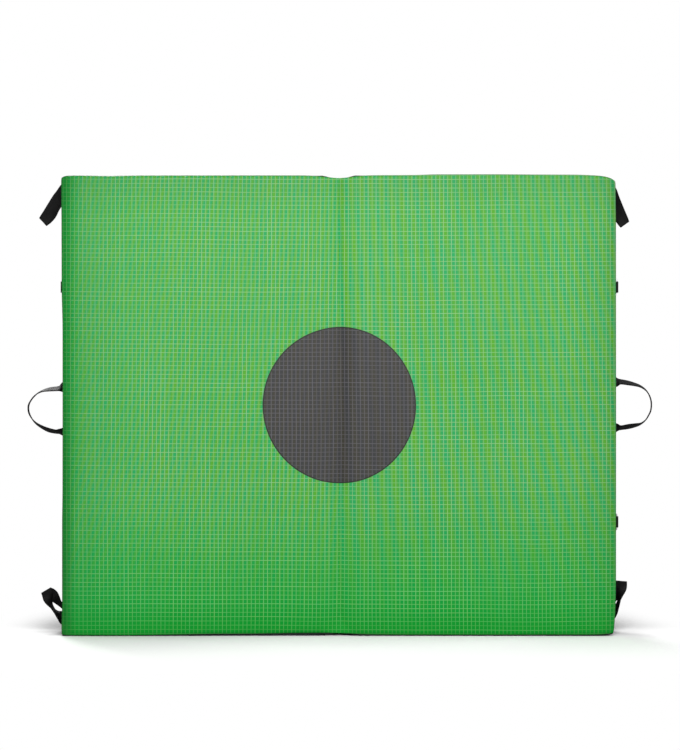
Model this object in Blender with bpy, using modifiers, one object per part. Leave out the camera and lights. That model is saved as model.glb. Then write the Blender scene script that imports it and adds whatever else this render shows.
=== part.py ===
"""A hinge-style bouldering crash pad, open and standing on its long edge.

Metres, +Z up. X runs along the width, and the landing faces look towards -Y.
The origin is at the middle of the pad's footprint, on the floor.
The right half turns about the vertical crease at x = 0 until the landing faces meet.
"""

import collections
import math

import bmesh
import bpy
import numpy as np
from mathutils import Matrix, Vector

# The pad
HALF_WIDTH = 0.600
HEIGHT = 1.000
THICKNESS = 0.100
CROWN = 0.008
CROWN_POWER = 8
CORNER_PULL = 0.005
CORNER_POWER = 16
DRAW_IN = 0.004
FACE_COLUMNS = 12
FACE_ROWS = 18
BOXING_STEPS = 5

# Sheets and foams, from the landing face to the ground side
FACE_FABRIC = 0.0012
BOXING_FABRIC = 0.0012
BACK_FABRIC = 0.0015
TOP_FOAM = 0.012
BASE_FOAM = 0.010

# Clearances
SEAT_GAP = 0.0003
FOAM_GAP = 0.0008
FOLD_GAP = 0.0015
FOLD_CLEARANCE = 0.0005
SEAM_STAND = 0.0007

# Bound seam in the crease
HINGE_SEAM_DEPTH = 0.014
HINGE_SEAM_END = 0.006

# Webbing sewn in the seams
WEB_WIDTH = 0.025
WEB_THICK = 0.0016
SEWN_THICK = 0.0006
SMOOTH_STEPS = 2

# Carry handles: their middle as a share of the pad's height, their spread and reach
LEFT_HANDLE_SHARE = 0.4908
LEFT_HANDLE_SPREAD = 0.0992
LEFT_HANDLE_REACH = 0.087
RIGHT_HANDLE_SHARE = 0.5009
RIGHT_HANDLE_SPREAD = 0.1012
RIGHT_HANDLE_REACH = 0.092
# Reach, height and turn of the webbing along a handle
HANDLE_SHARES = (
    (0.00, 1.00, 0.00), (0.13, 1.00, 0.10), (0.32, 0.99, 0.60), (0.60, 0.95, 0.85), (0.80, 0.85, 0.95),
    (0.94, 0.70, 1.00), (1.00, 0.50, 1.00), (0.94, 0.29, 1.00), (0.78, 0.14, 0.95), (0.58, 0.06, 0.85),
    (0.32, 0.01, 0.60), (0.13, 0.00, 0.10), (0.00, 0.00, 0.00),
)

# Corner loops: the legs' roots on the seam and the fold at the tip
TOP_LOOP_INSET = 0.030
TOP_LOOP_DROP = 0.065
TOP_LEFT_REACH = 0.050
TOP_RIGHT_REACH = 0.038
BOTTOM_LOOP_ROOT = 0.020
BOTTOM_LOOP_SPREAD = 0.030
BOTTOM_LOOP_RISE = 0.058
BOTTOM_LEFT_REACH = 0.038
BOTTOM_RIGHT_REACH = 0.022
LOOP_SPLIT = 0.0012
LOOP_EYE = 0.010
# How far the webbing may lean towards the seam, of its own distance from it
LOOP_LEAN_SHARE = 0.5
# Place along a loop's leg and share of its eye there
LOOP_LEG_SHARES = ((0.00, 0.00), (0.15, 0.25), (0.40, 0.80), (0.70, 1.00), (0.92, 0.75))

# Closure: tab, ring, strap and hook on the right edge, catch loops on the left
CLOSURE_UPPER_SHARE = 0.762
CLOSURE_LOWER_SHARE = 0.241
TAB_REACH = 0.020
CATCH_REACH = 0.016
CATCH_EYE = 0.007
RING_LENGTH = 0.034
RING_WIRE = 0.003
RING_SPARE = 0.006
STRAP_LENGTH = 0.220
LAP_LENGTH = 0.022
EYE_STEPS = 10
TAB_WRAP = 115
HOOK_SLOT = 0.0048
HOOK_LENGTH = 0.042
HOOK_THICK = 0.0024
# Outline of the hook's nose side, as shares of its length and width
HOOK_SHARES = (
    (0.08, 0.50), (0.92, 0.50), (1.00, 0.42), (1.00, -0.42), (0.94, -0.50), (0.50, -0.50), (0.46, -0.46),
    (0.46, -0.38), (0.50, -0.34), (0.80, -0.34), (0.84, -0.28), (0.84, 0.14), (0.80, 0.20), (0.40, 0.20),
    (0.36, 0.14), (0.36, -0.46), (0.32, -0.50), (0.08, -0.50), (0.00, -0.42), (0.00, 0.42),
)

# Carry system on the left half's back
CARRY_MIDDLE_SHARE = 0.5
YOKE_WIDTH = 0.190
YOKE_HEIGHT = 0.070
YOKE_INSET = 0.215
PATCH_THICK = 0.0015
PATCH_CORNER = 0.006
CORNER_STEPS = 4
SHOULDER_STANDOFF = 0.030
SHOULDER_THICK = 0.014
SHOULDER_WIDTH = 0.064
SHOULDER_INSET = 0.232
SHOULDER_LENGTH_SHARE = 0.716
SHOULDER_NARROW = 0.045
SHOULDER_SPREAD = 0.110
SECTION_POINTS = 12
SECTION_POWER = 0.7
# Height, spread, stand-off, width and thickness of a shoulder strap, from its sewn top down
SHOULDER_SHARES = (
    (1.00, 0.00, 0.00, 0.75, 0.40), (0.93, 0.04, 0.04, 0.82, 0.55), (0.84, 0.20, 0.42, 0.92, 0.90),
    (0.70, 0.50, 0.80, 1.00, 1.00), (0.52, 0.82, 1.00, 1.00, 1.00), (0.34, 1.00, 1.00, 0.95, 1.00),
    (0.18, 1.00, 0.92, 0.78, 0.90), (0.06, 1.00, 0.82, 0.56, 0.60), (0.00, 1.00, 0.78, 0.46, 0.45),
)
LOCK_WIDTH = 0.034
LOCK_LENGTH = 0.030
LOCK_THICK = 0.004
LOCK_BAR = 0.004
ANCHOR_WIDTH = 0.060
ANCHOR_HEIGHT = 0.050
ANCHOR_BOTTOM = 0.190
TAIL_LENGTH = 0.100

# Haul handle, a flat U of webbing that hangs from its two sewn ends
HAUL_INSET = 0.070
HAUL_SPAN = 0.130
HAUL_DROP = 0.070
HAUL_WIDTH = 0.025
HAUL_THICK = 0.003

# Waist belt
BELT_HEIGHT = 0.140
BELT_ROOT = 0.075
BELT_LENGTH = 0.130
BUCKLE_WIDTH = 0.034
BUCKLE_LENGTH = 0.036
BUCKLE_THICK = 0.008
BUCKLE_WALL = 0.0016
PLUG_THICK = 0.003
BUCKLE_BAR = 0.0035
# Outline of the plug's body and three prongs, as shares of its length and half width
PLUG_SHARES = (
    (0.00, 0.80), (0.30, 0.80), (0.30, 0.66), (0.62, 0.66), (0.74, 0.84), (0.84, 0.80), (1.00, 0.50),
    (0.94, 0.40), (0.70, 0.50), (0.36, 0.46), (0.36, 0.14), (0.90, 0.08),
)

# Zips along the lower edge of the back
ZIP_HEIGHT = 0.055
ZIP_LENGTH = 0.480
ZIP_TAPE = 0.028
ZIP_TAPE_THICK = 0.0008
COIL_WIDTH = 0.005
COIL_THICK = 0.0014
SLIDER_LENGTH = 0.012
SLIDER_WIDTH = 0.010
SLIDER_ROOF = 0.0014
PULL_LENGTH = 0.034
PULL_WIDTH = 0.006
PULL_THICK = 0.0012

# Places that follow from the sizes
CARRY_DEPTH = SHOULDER_STANDOFF + SHOULDER_THICK
FRONT = -(THICKNESS + CARRY_DEPTH) / 2
BACK = FRONT + THICKNESS
FACE_SEAM = FRONT + FOLD_CLEARANCE + CROWN
SEAM_Y = BACK - BACK_FABRIC
SEAM_X = HALF_WIDTH + SEAM_STAND
CARRY_X = -HALF_WIDTH * CARRY_MIDDLE_SHARE
YOKE_BOTTOM = HEIGHT - YOKE_INSET - YOKE_HEIGHT
SHOULDER_TOP = HEIGHT - SHOULDER_INSET
SHOULDER_LENGTH = SHOULDER_LENGTH_SHARE * (SHOULDER_TOP - ANCHOR_BOTTOM - ANCHOR_HEIGHT)
HAUL_TOP = HEIGHT - HAUL_INSET
ON_BACK = BACK + SEAT_GAP

LOOKS = {
    "green_ripstop": ((0.075, 0.380, 0.100), 0.55, 0.0),
    "black_nylon": ((0.012, 0.013, 0.014), 0.70, 0.0),
    "black_webbing": ((0.010, 0.010, 0.011), 0.75, 0.0),
    "closed_foam": ((0.060, 0.065, 0.070), 0.90, 0.0),
    "open_foam": ((0.560, 0.520, 0.380), 0.95, 0.0),
    "black_plastic": ((0.014, 0.014, 0.015), 0.40, 0.0),
    "bare_metal": ((0.560, 0.570, 0.580), 0.32, 1.0),
}

for old in list(bpy.data.objects):
    bpy.data.objects.remove(old)

PARTS = bpy.data.collections.new("crash_pad")
CUTTERS = bpy.data.collections.new("crash_pad_cutters")
bpy.context.scene.collection.children.link(PARTS)
bpy.context.scene.collection.children.link(CUTTERS)


def material(name, look):
    """A Principled material of the piece's own colour, roughness and metallic value."""
    colour, roughness, metallic = LOOKS[look]
    made = bpy.data.materials.new(name)
    made.use_nodes = True
    shader = made.node_tree.nodes["Principled BSDF"]
    shader.inputs["Base Color"].default_value = (*colour, 1)
    shader.inputs["Roughness"].default_value = roughness
    shader.inputs["Metallic"].default_value = metallic
    return made


def place(name, look, data, collection=PARTS):
    """An object for the mesh or curve, with its own material."""
    obj = bpy.data.objects.new(name, data)
    data.materials.append(material(name, look))
    collection.objects.link(obj)
    return obj


def mesh_part(name, look, bm):
    """The piece that a closed bmesh makes, with its faces pointing out."""
    bmesh.ops.recalc_face_normals(bm, faces=bm.faces)
    mesh = bpy.data.meshes.new(name)
    bm.to_mesh(mesh)
    bm.free()
    return place(name, look, mesh)


def smooth(obj, degrees=40):
    """Shade a round piece smooth, with its hard edges kept."""
    obj.data.shade_smooth()
    obj.data.set_sharp_from_angle(angle=math.radians(degrees))
    return obj


def pivot(name, place_at, parent=None):
    """An empty on a joint's axis, which carries the pieces that turn or slide with it."""
    empty = bpy.data.objects.new(name, None)
    empty.location = place_at
    PARTS.objects.link(empty)
    if parent is not None:
        hang(empty, parent)
    return empty


def hang(obj, empty):
    """Parent a piece to an empty and leave it where it lies."""
    chain = Matrix.Identity(4)
    link = empty
    while link is not None:
        chain = Matrix.Translation(link.location) @ link.matrix_parent_inverse @ chain
        link = link.parent
    obj.parent = empty
    obj.matrix_parent_inverse = chain.inverted()


def loft(name, look, rings):
    """A closed solid through rings of the same number of points."""
    bm = bmesh.new()
    loops = [[bm.verts.new(point) for point in ring] for ring in rings]
    count = len(loops[0])
    for low, high in zip(loops, loops[1:]):
        for i in range(count):
            j = (i + 1) % count
            bm.faces.new((low[i], low[j], high[j], high[i]))
    bm.faces.new(loops[0])
    bm.faces.new(loops[-1])
    return mesh_part(name, look, bm)


def curve_rows(rows, steps=SMOOTH_STEPS):
    """Rows read from a smooth curve through the given rows."""
    rows = np.array(rows, dtype=float)
    padded = np.vstack((2 * rows[0] - rows[1], rows, 2 * rows[-1] - rows[-2]))
    found = []
    for i in range(len(rows) - 1):
        a, b, c, d = padded[i:i + 4]
        for k in range(steps):
            t = k / steps
            bend = (2 * a - 5 * b + 4 * c - d) * t ** 2 + (3 * b - a - 3 * c + d) * t ** 3
            found.append((2 * b + (c - a) * t + bend) / 2)
    found.append(rows[-1])
    return found


def strip(name, look, rows):
    """A webbing strip. Each row holds its centre, the vector across its width, and its thickness."""
    centres = [Vector(row[:3]) for row in rows]
    last = len(rows) - 1
    rings = []
    for i, row in enumerate(rows):
        along = centres[min(i + 1, last)] - centres[max(i - 1, 0)]
        half = Vector(row[3:6]) / 2
        flat = along.cross(half).normalized() * row[6] / 2
        centre = centres[i]
        rings.append((centre - half - flat, centre + half - flat, centre + half + flat, centre - half + flat))
    return loft(name, look, rings)


def band(name, look, points, middle, width=WEB_WIDTH, thick=WEB_THICK):
    """A strip that lies on edge along points of the XY plane, at one height."""
    return strip(name, look, [(x, y, middle, 0, 0, width, thick) for x, y in points])


def arc(centre, radius, start, end, steps=EYE_STEPS):
    """Points of an arc in a plane, with its angles in degrees."""
    points = []
    for i in range(steps + 1):
        angle = math.radians(start + (end - start) * i / steps)
        points.append((centre[0] + radius * math.cos(angle), centre[1] + radius * math.sin(angle)))
    return points


def rounded(width, height, radius, steps=CORNER_STEPS):
    """The outline of a rectangle with round corners, about its middle."""
    points = []
    for i, (sign_x, sign_y) in enumerate(((1, 1), (-1, 1), (-1, -1), (1, -1))):
        centre = (sign_x * (width / 2 - radius), sign_y * (height / 2 - radius))
        points += arc(centre, radius, 90 * i, 90 * (i + 1), steps)
    return points


def moved(points, right=0.0, up=0.0):
    """Points of an outline, moved in its plane."""
    return [(x + right, y + up) for x, y in points]


def on_back(x, y, z):
    """A plane that faces +Y: an outline's X runs along +X and its Y along +Z."""
    return Matrix.Translation((x, y, z)) @ Matrix.Rotation(math.radians(90), 4, "X")


def plate(name, look, outlines, thick, matrix):
    """A flat piece with its outline and any holes, centred on its plane."""
    curve = bpy.data.curves.new(name, "CURVE")
    curve.dimensions = "2D"
    curve.fill_mode = "BOTH"
    curve.extrude = thick / 2
    for outline in outlines:
        spline = curve.splines.new("POLY")
        spline.points.add(len(outline) - 1)
        for point, (x, y) in zip(spline.points, outline):
            point.co = (x, y, 0, 1)
        spline.use_cyclic_u = True
    obj = place(name, look, curve)
    obj.matrix_world = matrix
    return obj


def box_mesh(name, look, low, high, collection=PARTS):
    """A box between two corners."""
    bm = bmesh.new()
    bmesh.ops.create_cube(bm, size=1)
    size = Vector(high) - Vector(low)
    bmesh.ops.scale(bm, vec=size, verts=bm.verts)
    bmesh.ops.translate(bm, vec=(Vector(low) + Vector(high)) / 2, verts=bm.verts)
    mesh = bpy.data.meshes.new(name)
    bm.to_mesh(mesh)
    bm.free()
    obj = place(name, look, mesh, collection)
    if collection is CUTTERS:
        obj.hide_render = True
        obj.display_type = "WIRE"
    return obj


def boolean(obj, other, operation):
    """Cut or join one solid with another."""
    step = obj.modifiers.new(operation.lower(), "BOOLEAN")
    step.operation = operation
    step.object = other
    step.solver = "EXACT"


def crowded(steps):
    """Places from -1 to 1 that crowd towards both ends."""
    return [math.sin(math.pi / 2 * (2 * i / steps - 1)) for i in range(steps + 1)]


# How far a layer keeps inside the cover's outline on each of its four sides
Margins = collections.namedtuple("Margins", "crease outer top floor")
COVER = Margins(0, 0, 0, 0)


def foam_margins():
    """The margins of the foams, inside the side wall where it is drawn in."""
    wall = BOXING_FABRIC + FOAM_GAP
    return Margins(wall, wall + DRAW_IN, wall + DRAW_IN, BOXING_FABRIC + SEAT_GAP)


def corner_pull(u, v):
    """How far the outline is pulled in at a place, in X and in Z alike."""
    return CORNER_PULL * abs(u * v) ** CORNER_POWER


def outline_point(side, u, v, margins=COVER):
    """A point of a half's outline: u from the crease to the outer edge, v from the floor up."""
    near = FOLD_GAP + margins.crease
    far = HALF_WIDTH - margins.outer
    floor = margins.floor
    top = HEIGHT - margins.top
    pull = corner_pull(u, v)
    x = (near + far) / 2 + (far - near) / 2 * u - math.copysign(pull, u)
    z = (floor + top) / 2 + (top - floor) / 2 * v - math.copysign(pull, v)
    return side * x, z


def outline_ring(side, margins=COVER):
    """The outline of a half, once round its edge."""
    columns = crowded(FACE_COLUMNS)
    rows = crowded(FACE_ROWS)
    route = [(u, -1) for u in columns[:-1]]
    route += [(1, v) for v in rows[:-1]]
    route += [(u, 1) for u in reversed(columns[1:])]
    route += [(-1, v) for v in reversed(rows[1:])]
    return [outline_point(side, u, v, margins) for u, v in route]


def crown(u, v):
    """How far the landing face stands out at a place, from 0 at its seams to 1."""
    return (1 - abs(u) ** CROWN_POWER) * (1 - abs(v) ** CROWN_POWER)


def crowned_grid(bm, side, margins, y_edge):
    """Rows of vertices over a half's face, raised by the crown."""
    grid = []
    for v in crowded(FACE_ROWS):
        line = []
        for u in crowded(FACE_COLUMNS):
            x, z = outline_point(side, u, v, margins)
            line.append(bm.verts.new((x, y_edge - CROWN * crown(u, v), z)))
        grid.append(line)
    for low, high in zip(grid, grid[1:]):
        for i in range(FACE_COLUMNS):
            bm.faces.new((low[i], low[i + 1], high[i + 1], high[i]))
    return grid


def landing_panel(name, side):
    """The crowned fabric face of one half, a sheet with its thickness laid inwards."""
    bm = bmesh.new()
    crowned_grid(bm, side, COVER, FACE_SEAM)
    bmesh.ops.recalc_face_normals(bm, faces=bm.faces)
    bm.faces.ensure_lookup_table()
    if bm.faces[0].normal.y > 0:
        bmesh.ops.reverse_faces(bm, faces=bm.faces)
    mesh = bpy.data.meshes.new(name)
    bm.to_mesh(mesh)
    bm.free()
    obj = smooth(place(name, "green_ripstop", mesh))
    shell = obj.modifiers.new("fabric", "SOLIDIFY")
    shell.thickness = FACE_FABRIC
    shell.offset = -1
    return obj


def foam_top(name, side):
    """The closed-cell sheet, crowned under the landing face and flat on the core."""
    bm = bmesh.new()
    grid = crowned_grid(bm, side, foam_margins(), FACE_SEAM + FACE_FABRIC + FOAM_GAP)
    edge = grid[0][:-1] + [line[-1] for line in grid[:-1]]
    edge += grid[-1][:0:-1] + [line[0] for line in reversed(grid[1:])]
    back = [bm.verts.new((vert.co.x, top_foam_back(), vert.co.z)) for vert in edge]
    for i in range(len(edge)):
        j = (i + 1) % len(edge)
        bm.faces.new((edge[i], edge[j], back[j], back[i]))
    bm.faces.new(back)
    return smooth(mesh_part(name, "closed_foam", bm))


def top_foam_back():
    """The plane where the closed-cell sheet meets the core."""
    return FACE_SEAM + FACE_FABRIC + FOAM_GAP + TOP_FOAM - CROWN


def slab(name, look, side, y_front, y_back, margins=COVER):
    """A flat sheet or block with the pad's outline."""
    ring = outline_ring(side, margins)
    return loft(name, look, [[(x, y, z) for x, z in ring] for y in (y_front, y_back)])


def foams(side, word):
    """The three foams of one half."""
    margins = foam_margins()
    core_front = top_foam_back() + SEAT_GAP
    base_back = BACK - BACK_FABRIC - SEAT_GAP
    base_front = base_back - BASE_FOAM
    top = foam_top(word + "_foam_top", side)
    core = slab(word + "_foam_core", "open_foam", side, core_front, base_front - SEAT_GAP, margins)
    base = slab(word + "_foam_base", "closed_foam", side, base_front, base_back, margins)
    return [top, core, base]


def boxing(name, side):
    """The side wall round one half: drawn in between its seams, flat where it stands."""
    bm = bmesh.new()
    y_front = FACE_SEAM + FACE_FABRIC + SEAT_GAP
    y_back = BACK - BACK_FABRIC - SEAT_GAP
    loops = []
    for step in range(BOXING_STEPS + 1):
        share = step / BOXING_STEPS
        drawn = DRAW_IN * 4 * share * (1 - share)
        y = y_front + (y_back - y_front) * share
        ring = outline_ring(side, Margins(0, drawn, drawn, 0))
        loops.append([bm.verts.new((x, y, z)) for x, z in ring])
    count = len(loops[0])
    for near, far in zip(loops, loops[1:]):
        for i in range(count):
            j = (i + 1) % count
            bm.faces.new((near[i], near[j], far[j], far[i]))
    bmesh.ops.recalc_face_normals(bm, faces=bm.faces)
    bm.faces.ensure_lookup_table()
    if bm.faces[0].normal.z > 0:
        bmesh.ops.reverse_faces(bm, faces=bm.faces)
    mesh = bpy.data.meshes.new(name)
    bm.to_mesh(mesh)
    bm.free()
    obj = smooth(place(name, "black_nylon", mesh))
    wall = obj.modifiers.new("fabric", "SOLIDIFY")
    wall.thickness = BOXING_FABRIC
    wall.offset = -1
    return obj


def half(side, word):
    """All the layers of one half."""
    made = [landing_panel(word + "_landing_panel", side), boxing(word + "_boxing", side)]
    made += foams(side, word)
    made.append(slab(word + "_back_panel", "black_nylon", side, BACK - BACK_FABRIC, BACK))
    return made


def hinge_seam():
    """The bound seam between the halves, just behind the crease."""
    width = 2 * (FOLD_GAP - SEAT_GAP)
    low = (-width / 2, FACE_SEAM, HINGE_SEAM_END)
    high = (width / 2, FACE_SEAM + HINGE_SEAM_DEPTH, HEIGHT - HINGE_SEAM_END)
    return box_mesh("hinge_seam", "black_webbing", low, high)


def handle(name, side, middle_share, spread, reach):
    """A carry handle: webbing sewn upright in the seam, turned on edge at the grip."""
    rows = []
    low = HEIGHT * middle_share - spread / 2
    for out, up, turn in HANDLE_SHARES:
        angle = turn * math.pi / 2
        across = Vector((0, side * math.sin(angle), math.cos(angle))) * WEB_WIDTH
        thick = SEWN_THICK if out == 0 else WEB_THICK
        rows.append((side * (SEAM_X + reach * out), SEAM_Y, low + spread * up, *across, thick))
    half_way = len(rows) // 2
    for i in range(half_way + 1, len(rows)):
        rows[i] = (*rows[i][:3], *(Vector(rows[i][3:6]) * Vector((1, 1, -1))), rows[i][6])
    return smooth(strip(name, "black_webbing", curve_rows(rows)))


def loop_seam(height):
    """Where a corner loop leaves the seam, which the rounded corner draws in."""
    inner_end = HEIGHT / 2 + math.copysign(abs(height - HEIGHT / 2) - WEB_WIDTH / 2, height - HEIGHT / 2)
    return SEAM_X - corner_pull(1, 2 * inner_end / HEIGHT - 1)


def corner_loop(name, side, seam_x, root_one, root_two, reach, tip_height):
    """A doubled webbing loop: two legs from the seam that meet in a fold at the tip."""
    tip = Vector((side * (seam_x + reach), SEAM_Y, tip_height))
    legs = []
    for root_height, turn in ((root_one, -1), (root_two, 1)):
        root = Vector((side * seam_x, SEAM_Y, root_height))
        way = (tip - root).normalized()
        square = Vector((abs(way.z), 0, math.copysign(way.x, -side * way.z))) * WEB_WIDTH
        leg = []
        for place_share, eye_share in LOOP_LEG_SHARES:
            centre = root.lerp(tip, place_share)
            lean = min(square.x, 2 * LOOP_LEAN_SHARE * abs(centre.x - root.x))
            upright = math.copysign(math.sqrt(WEB_WIDTH ** 2 - lean ** 2), -side * way.z)
            centre.y += turn * (LOOP_SPLIT / 2 + (LOOP_EYE - LOOP_SPLIT) / 2 * eye_share)
            thick = SEWN_THICK if place_share == 0 else WEB_THICK
            leg.append((*centre, lean, 0, upright, thick))
        legs.append(leg)
    mean = (Vector(legs[0][-1][3:6]) + Vector(legs[1][-1][3:6])) / 2
    rows = legs[0] + [(*tip, *mean, WEB_THICK)] + legs[1][::-1]
    return smooth(strip(name, "black_webbing", curve_rows(rows)))


def eye_radius(bar):
    """The middle radius of webbing that passes round a square bar and can turn on it."""
    return bar / math.sqrt(2) + SEAT_GAP + WEB_THICK / 2


RING_Y = ON_BACK + eye_radius(RING_WIRE) + WEB_THICK / 2
RING_BAR_X = SEAM_X + TAB_REACH - eye_radius(RING_WIRE) - WEB_THICK / 2
STRAP_BAR_X = RING_BAR_X - RING_LENGTH + RING_WIRE
HOOK_BAR_X = STRAP_BAR_X - STRAP_LENGTH


def closure_tab(name, height):
    """A short webbing tab sewn in the right seam, folded round its ring."""
    eye = (RING_BAR_X, RING_Y)
    radius = eye_radius(RING_WIRE)
    root = SEAM_Y - WEB_THICK
    points = [(SEAM_X, root), *arc(eye, radius, -TAB_WRAP, TAB_WRAP)]
    points.append((SEAM_X + WEB_THICK, SEAM_Y + WEB_THICK))
    return smooth(band(name, "black_webbing", points, height))


def closure_ring(name, height):
    """A rectangular metal ring that lies behind the pad's edge."""
    inner_width = WEB_WIDTH + RING_SPARE
    outer = rounded(RING_LENGTH, inner_width + 2 * RING_WIRE, RING_WIRE)
    inner = rounded(RING_LENGTH - 2 * RING_WIRE, inner_width, RING_WIRE / 2)
    middle = RING_BAR_X + RING_WIRE / 2 - RING_LENGTH / 2
    return plate(name, "bare_metal", [outer, inner], RING_WIRE, on_back(middle, RING_Y, height))


def lapped(bar_x, bar_y, radius, way, far):
    """A strip's path: its sewn lap, an eye round a bar, then on to a far point."""
    lap = [(bar_x - way * LAP_LENGTH, bar_y + radius)]
    turn = arc((0, 0), radius, 90, -90)
    eye = [(bar_x + way * x, bar_y + y) for x, y in turn]
    return lap + eye + [(far, bar_y - radius)]


def closure_strap(name, height):
    """A webbing strap from the ring to its hook, with an eye at both ends."""
    radius = eye_radius(RING_WIRE)
    near = lapped(STRAP_BAR_X, RING_Y, radius, 1, HOOK_BAR_X)[:-1]
    far = lapped(HOOK_BAR_X, RING_Y, radius, -1, STRAP_BAR_X)[:-1]
    return smooth(band(name, "black_webbing", near + far[::-1], height))


def closure_hook(name, height):
    """A flat metal hook, on a bar in the strap's end."""
    width = WEB_WIDTH + RING_SPARE + 2 * RING_WIRE
    outer = [(-HOOK_LENGTH * along, width * across) for along, across in HOOK_SHARES]
    slot = rounded(HOOK_SLOT, WEB_WIDTH + RING_SPARE / 2, HOOK_SLOT / 4)
    outlines = [outer, moved(slot, -RING_WIRE - HOOK_SLOT / 2)]
    return plate(name, "bare_metal", outlines, HOOK_THICK,
                 on_back(HOOK_BAR_X + RING_WIRE / 2, RING_Y, height))


def catch_loop(name, height):
    """A small webbing loop in the left seam, which a hook catches when the pad is folded."""
    radius = (CATCH_EYE + WEB_THICK) / 2
    centre = (-(SEAM_X + CATCH_REACH - radius - WEB_THICK / 2), SEAM_Y)
    points = [(-SEAM_X, SEAM_Y - WEB_THICK / 2 - SEAT_GAP)]
    points += arc(centre, radius, 270, 90)
    points.append((-SEAM_X, SEAM_Y + WEB_THICK / 2 + SEAT_GAP))
    return smooth(band(name, "black_webbing", points, height))


def patch(name, x, bottom, width, height):
    """A flat sewn patch on the back panel."""
    outline = rounded(width, height, PATCH_CORNER)
    middle = ON_BACK + PATCH_THICK / 2
    return plate(name, "black_nylon", [outline], PATCH_THICK, on_back(x, middle, bottom + height / 2))


def section(width, thick):
    """A padded strap's section, flat and full with round edges."""
    points = []
    for i in range(SECTION_POINTS):
        angle = 2 * math.pi * i / SECTION_POINTS
        x = math.copysign(abs(math.cos(angle)) ** SECTION_POWER, math.cos(angle))
        y = math.copysign(abs(math.sin(angle)) ** SECTION_POWER, math.sin(angle))
        points.append((width / 2 * x, thick / 2 * y))
    return points


STRAP_SEAT = ON_BACK + PATCH_THICK + SEAT_GAP


def shoulder_rows(side):
    """Centre, width and thickness along a shoulder strap, from its sewn top down."""
    rows = []
    rise = SHOULDER_STANDOFF - (STRAP_SEAT - BACK)
    for height, spread, stand, wide, thick in SHOULDER_SHARES:
        depth = SHOULDER_THICK * thick
        x = CARRY_X + side * (SHOULDER_NARROW + (SHOULDER_SPREAD - SHOULDER_NARROW) * spread)
        y = STRAP_SEAT + rise * stand + depth / 2
        z = SHOULDER_TOP - SHOULDER_LENGTH * (1 - height)
        rows.append((x, y, z, SHOULDER_WIDTH * wide, depth))
    return rows


def shoulder_strap(name, side):
    """A padded strap that swells and tapers, and stands off the back where an arm goes."""
    rings = []
    for x, y, z, wide, depth in curve_rows(shoulder_rows(side)):
        rings.append([(x + a, y + b, z) for a, b in section(wide, depth)])
    return smooth(loft(name, "black_nylon", rings))


def lock_place(side):
    """Where a ladder lock hangs: just below the end of its padded strap."""
    x, y, z = shoulder_rows(side)[-1][:3]
    return x, y, z - SEAT_GAP - LOCK_LENGTH / 2


def ladder_lock(name, side):
    """A plastic adjuster: a plate with three bars and two slots."""
    outer = rounded(LOCK_WIDTH, LOCK_LENGTH, LOCK_BAR)
    slot_width = (LOCK_LENGTH - 3 * LOCK_BAR) / 2
    slot = rounded(LOCK_WIDTH - 2 * LOCK_BAR, slot_width, LOCK_BAR / 4)
    shift = (slot_width + LOCK_BAR) / 2
    outlines = [outer, moved(slot, 0, shift), moved(slot, 0, -shift)]
    return plate(name, "black_plastic", outlines, LOCK_THICK, on_back(*lock_place(side)))


def lower_webbing(name, side):
    """Webbing from its anchor up round the lock's middle bar, with its tail hanging outside."""
    x, y, z = lock_place(side)
    radius = LOCK_THICK / math.sqrt(2) + SEAT_GAP + WEB_THICK / 2
    low = ANCHOR_BOTTOM + ANCHOR_HEIGHT / 4
    lie = STRAP_SEAT + WEB_THICK / 2
    places = [(lie, low), (lie, low + ANCHOR_HEIGHT / 2), (y - radius, z - LOCK_LENGTH)]
    places += [(y + b, z + a) for b, a in arc((0, 0), radius, 180, 0)]
    places += [(y + radius, z - LOCK_LENGTH), (y + radius, z - LOCK_LENGTH - TAIL_LENGTH)]
    width = WEB_WIDTH - SEAT_GAP
    rows = [(x, along, up, width, 0, 0, WEB_THICK) for along, up in places]
    return smooth(strip(name, "black_webbing", rows))


def haul_handle():
    """A flat U of webbing that hangs from its sewn ends and lifts about them."""
    outer = HAUL_SPAN / 2
    inner = outer - HAUL_WIDTH
    soft = HAUL_WIDTH / 4
    points = [(outer, 0), (inner, 0), (inner, soft + HAUL_WIDTH - HAUL_DROP)]
    points += [(inner - soft, HAUL_WIDTH - HAUL_DROP), (soft - inner, HAUL_WIDTH - HAUL_DROP)]
    points += [(-inner, soft + HAUL_WIDTH - HAUL_DROP), (-inner, 0), (-outer, 0)]
    points += arc((HAUL_WIDTH - outer, HAUL_WIDTH - HAUL_DROP), HAUL_WIDTH, 180, 270, CORNER_STEPS)
    points += arc((outer - HAUL_WIDTH, HAUL_WIDTH - HAUL_DROP), HAUL_WIDTH, 270, 360, CORNER_STEPS)
    middle = ON_BACK + HAUL_THICK / 2
    return plate("haul_handle", "black_webbing", [points], HAUL_THICK, on_back(CARRY_X, middle, HAUL_TOP))


BELT_Y = ON_BACK + eye_radius(BUCKLE_BAR) + WEB_THICK / 2


def belt_root(side):
    """Where a wing of the waist belt is sewn to the back."""
    return CARRY_X + side * BELT_ROOT


def belt_bar(side):
    """The bar of the buckle half at the end of a wing."""
    return belt_root(side) + side * BELT_LENGTH


def belt_wing(name, side):
    """One wing of the waist belt, from its sewn root to the eye that holds its buckle half."""
    bar = belt_bar(side)
    radius = eye_radius(BUCKLE_BAR)
    lie = BELT_Y - radius
    lap = [(bar - side * LAP_LENGTH, BELT_Y + radius)]
    eye = [(bar + side * x, BELT_Y + y) for x, y in arc((0, 0), radius, 90, -90)]
    points = [(belt_root(side), lie)] + eye[::-1] + lap
    return smooth(band(name, "black_webbing", points, BELT_HEIGHT))


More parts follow.
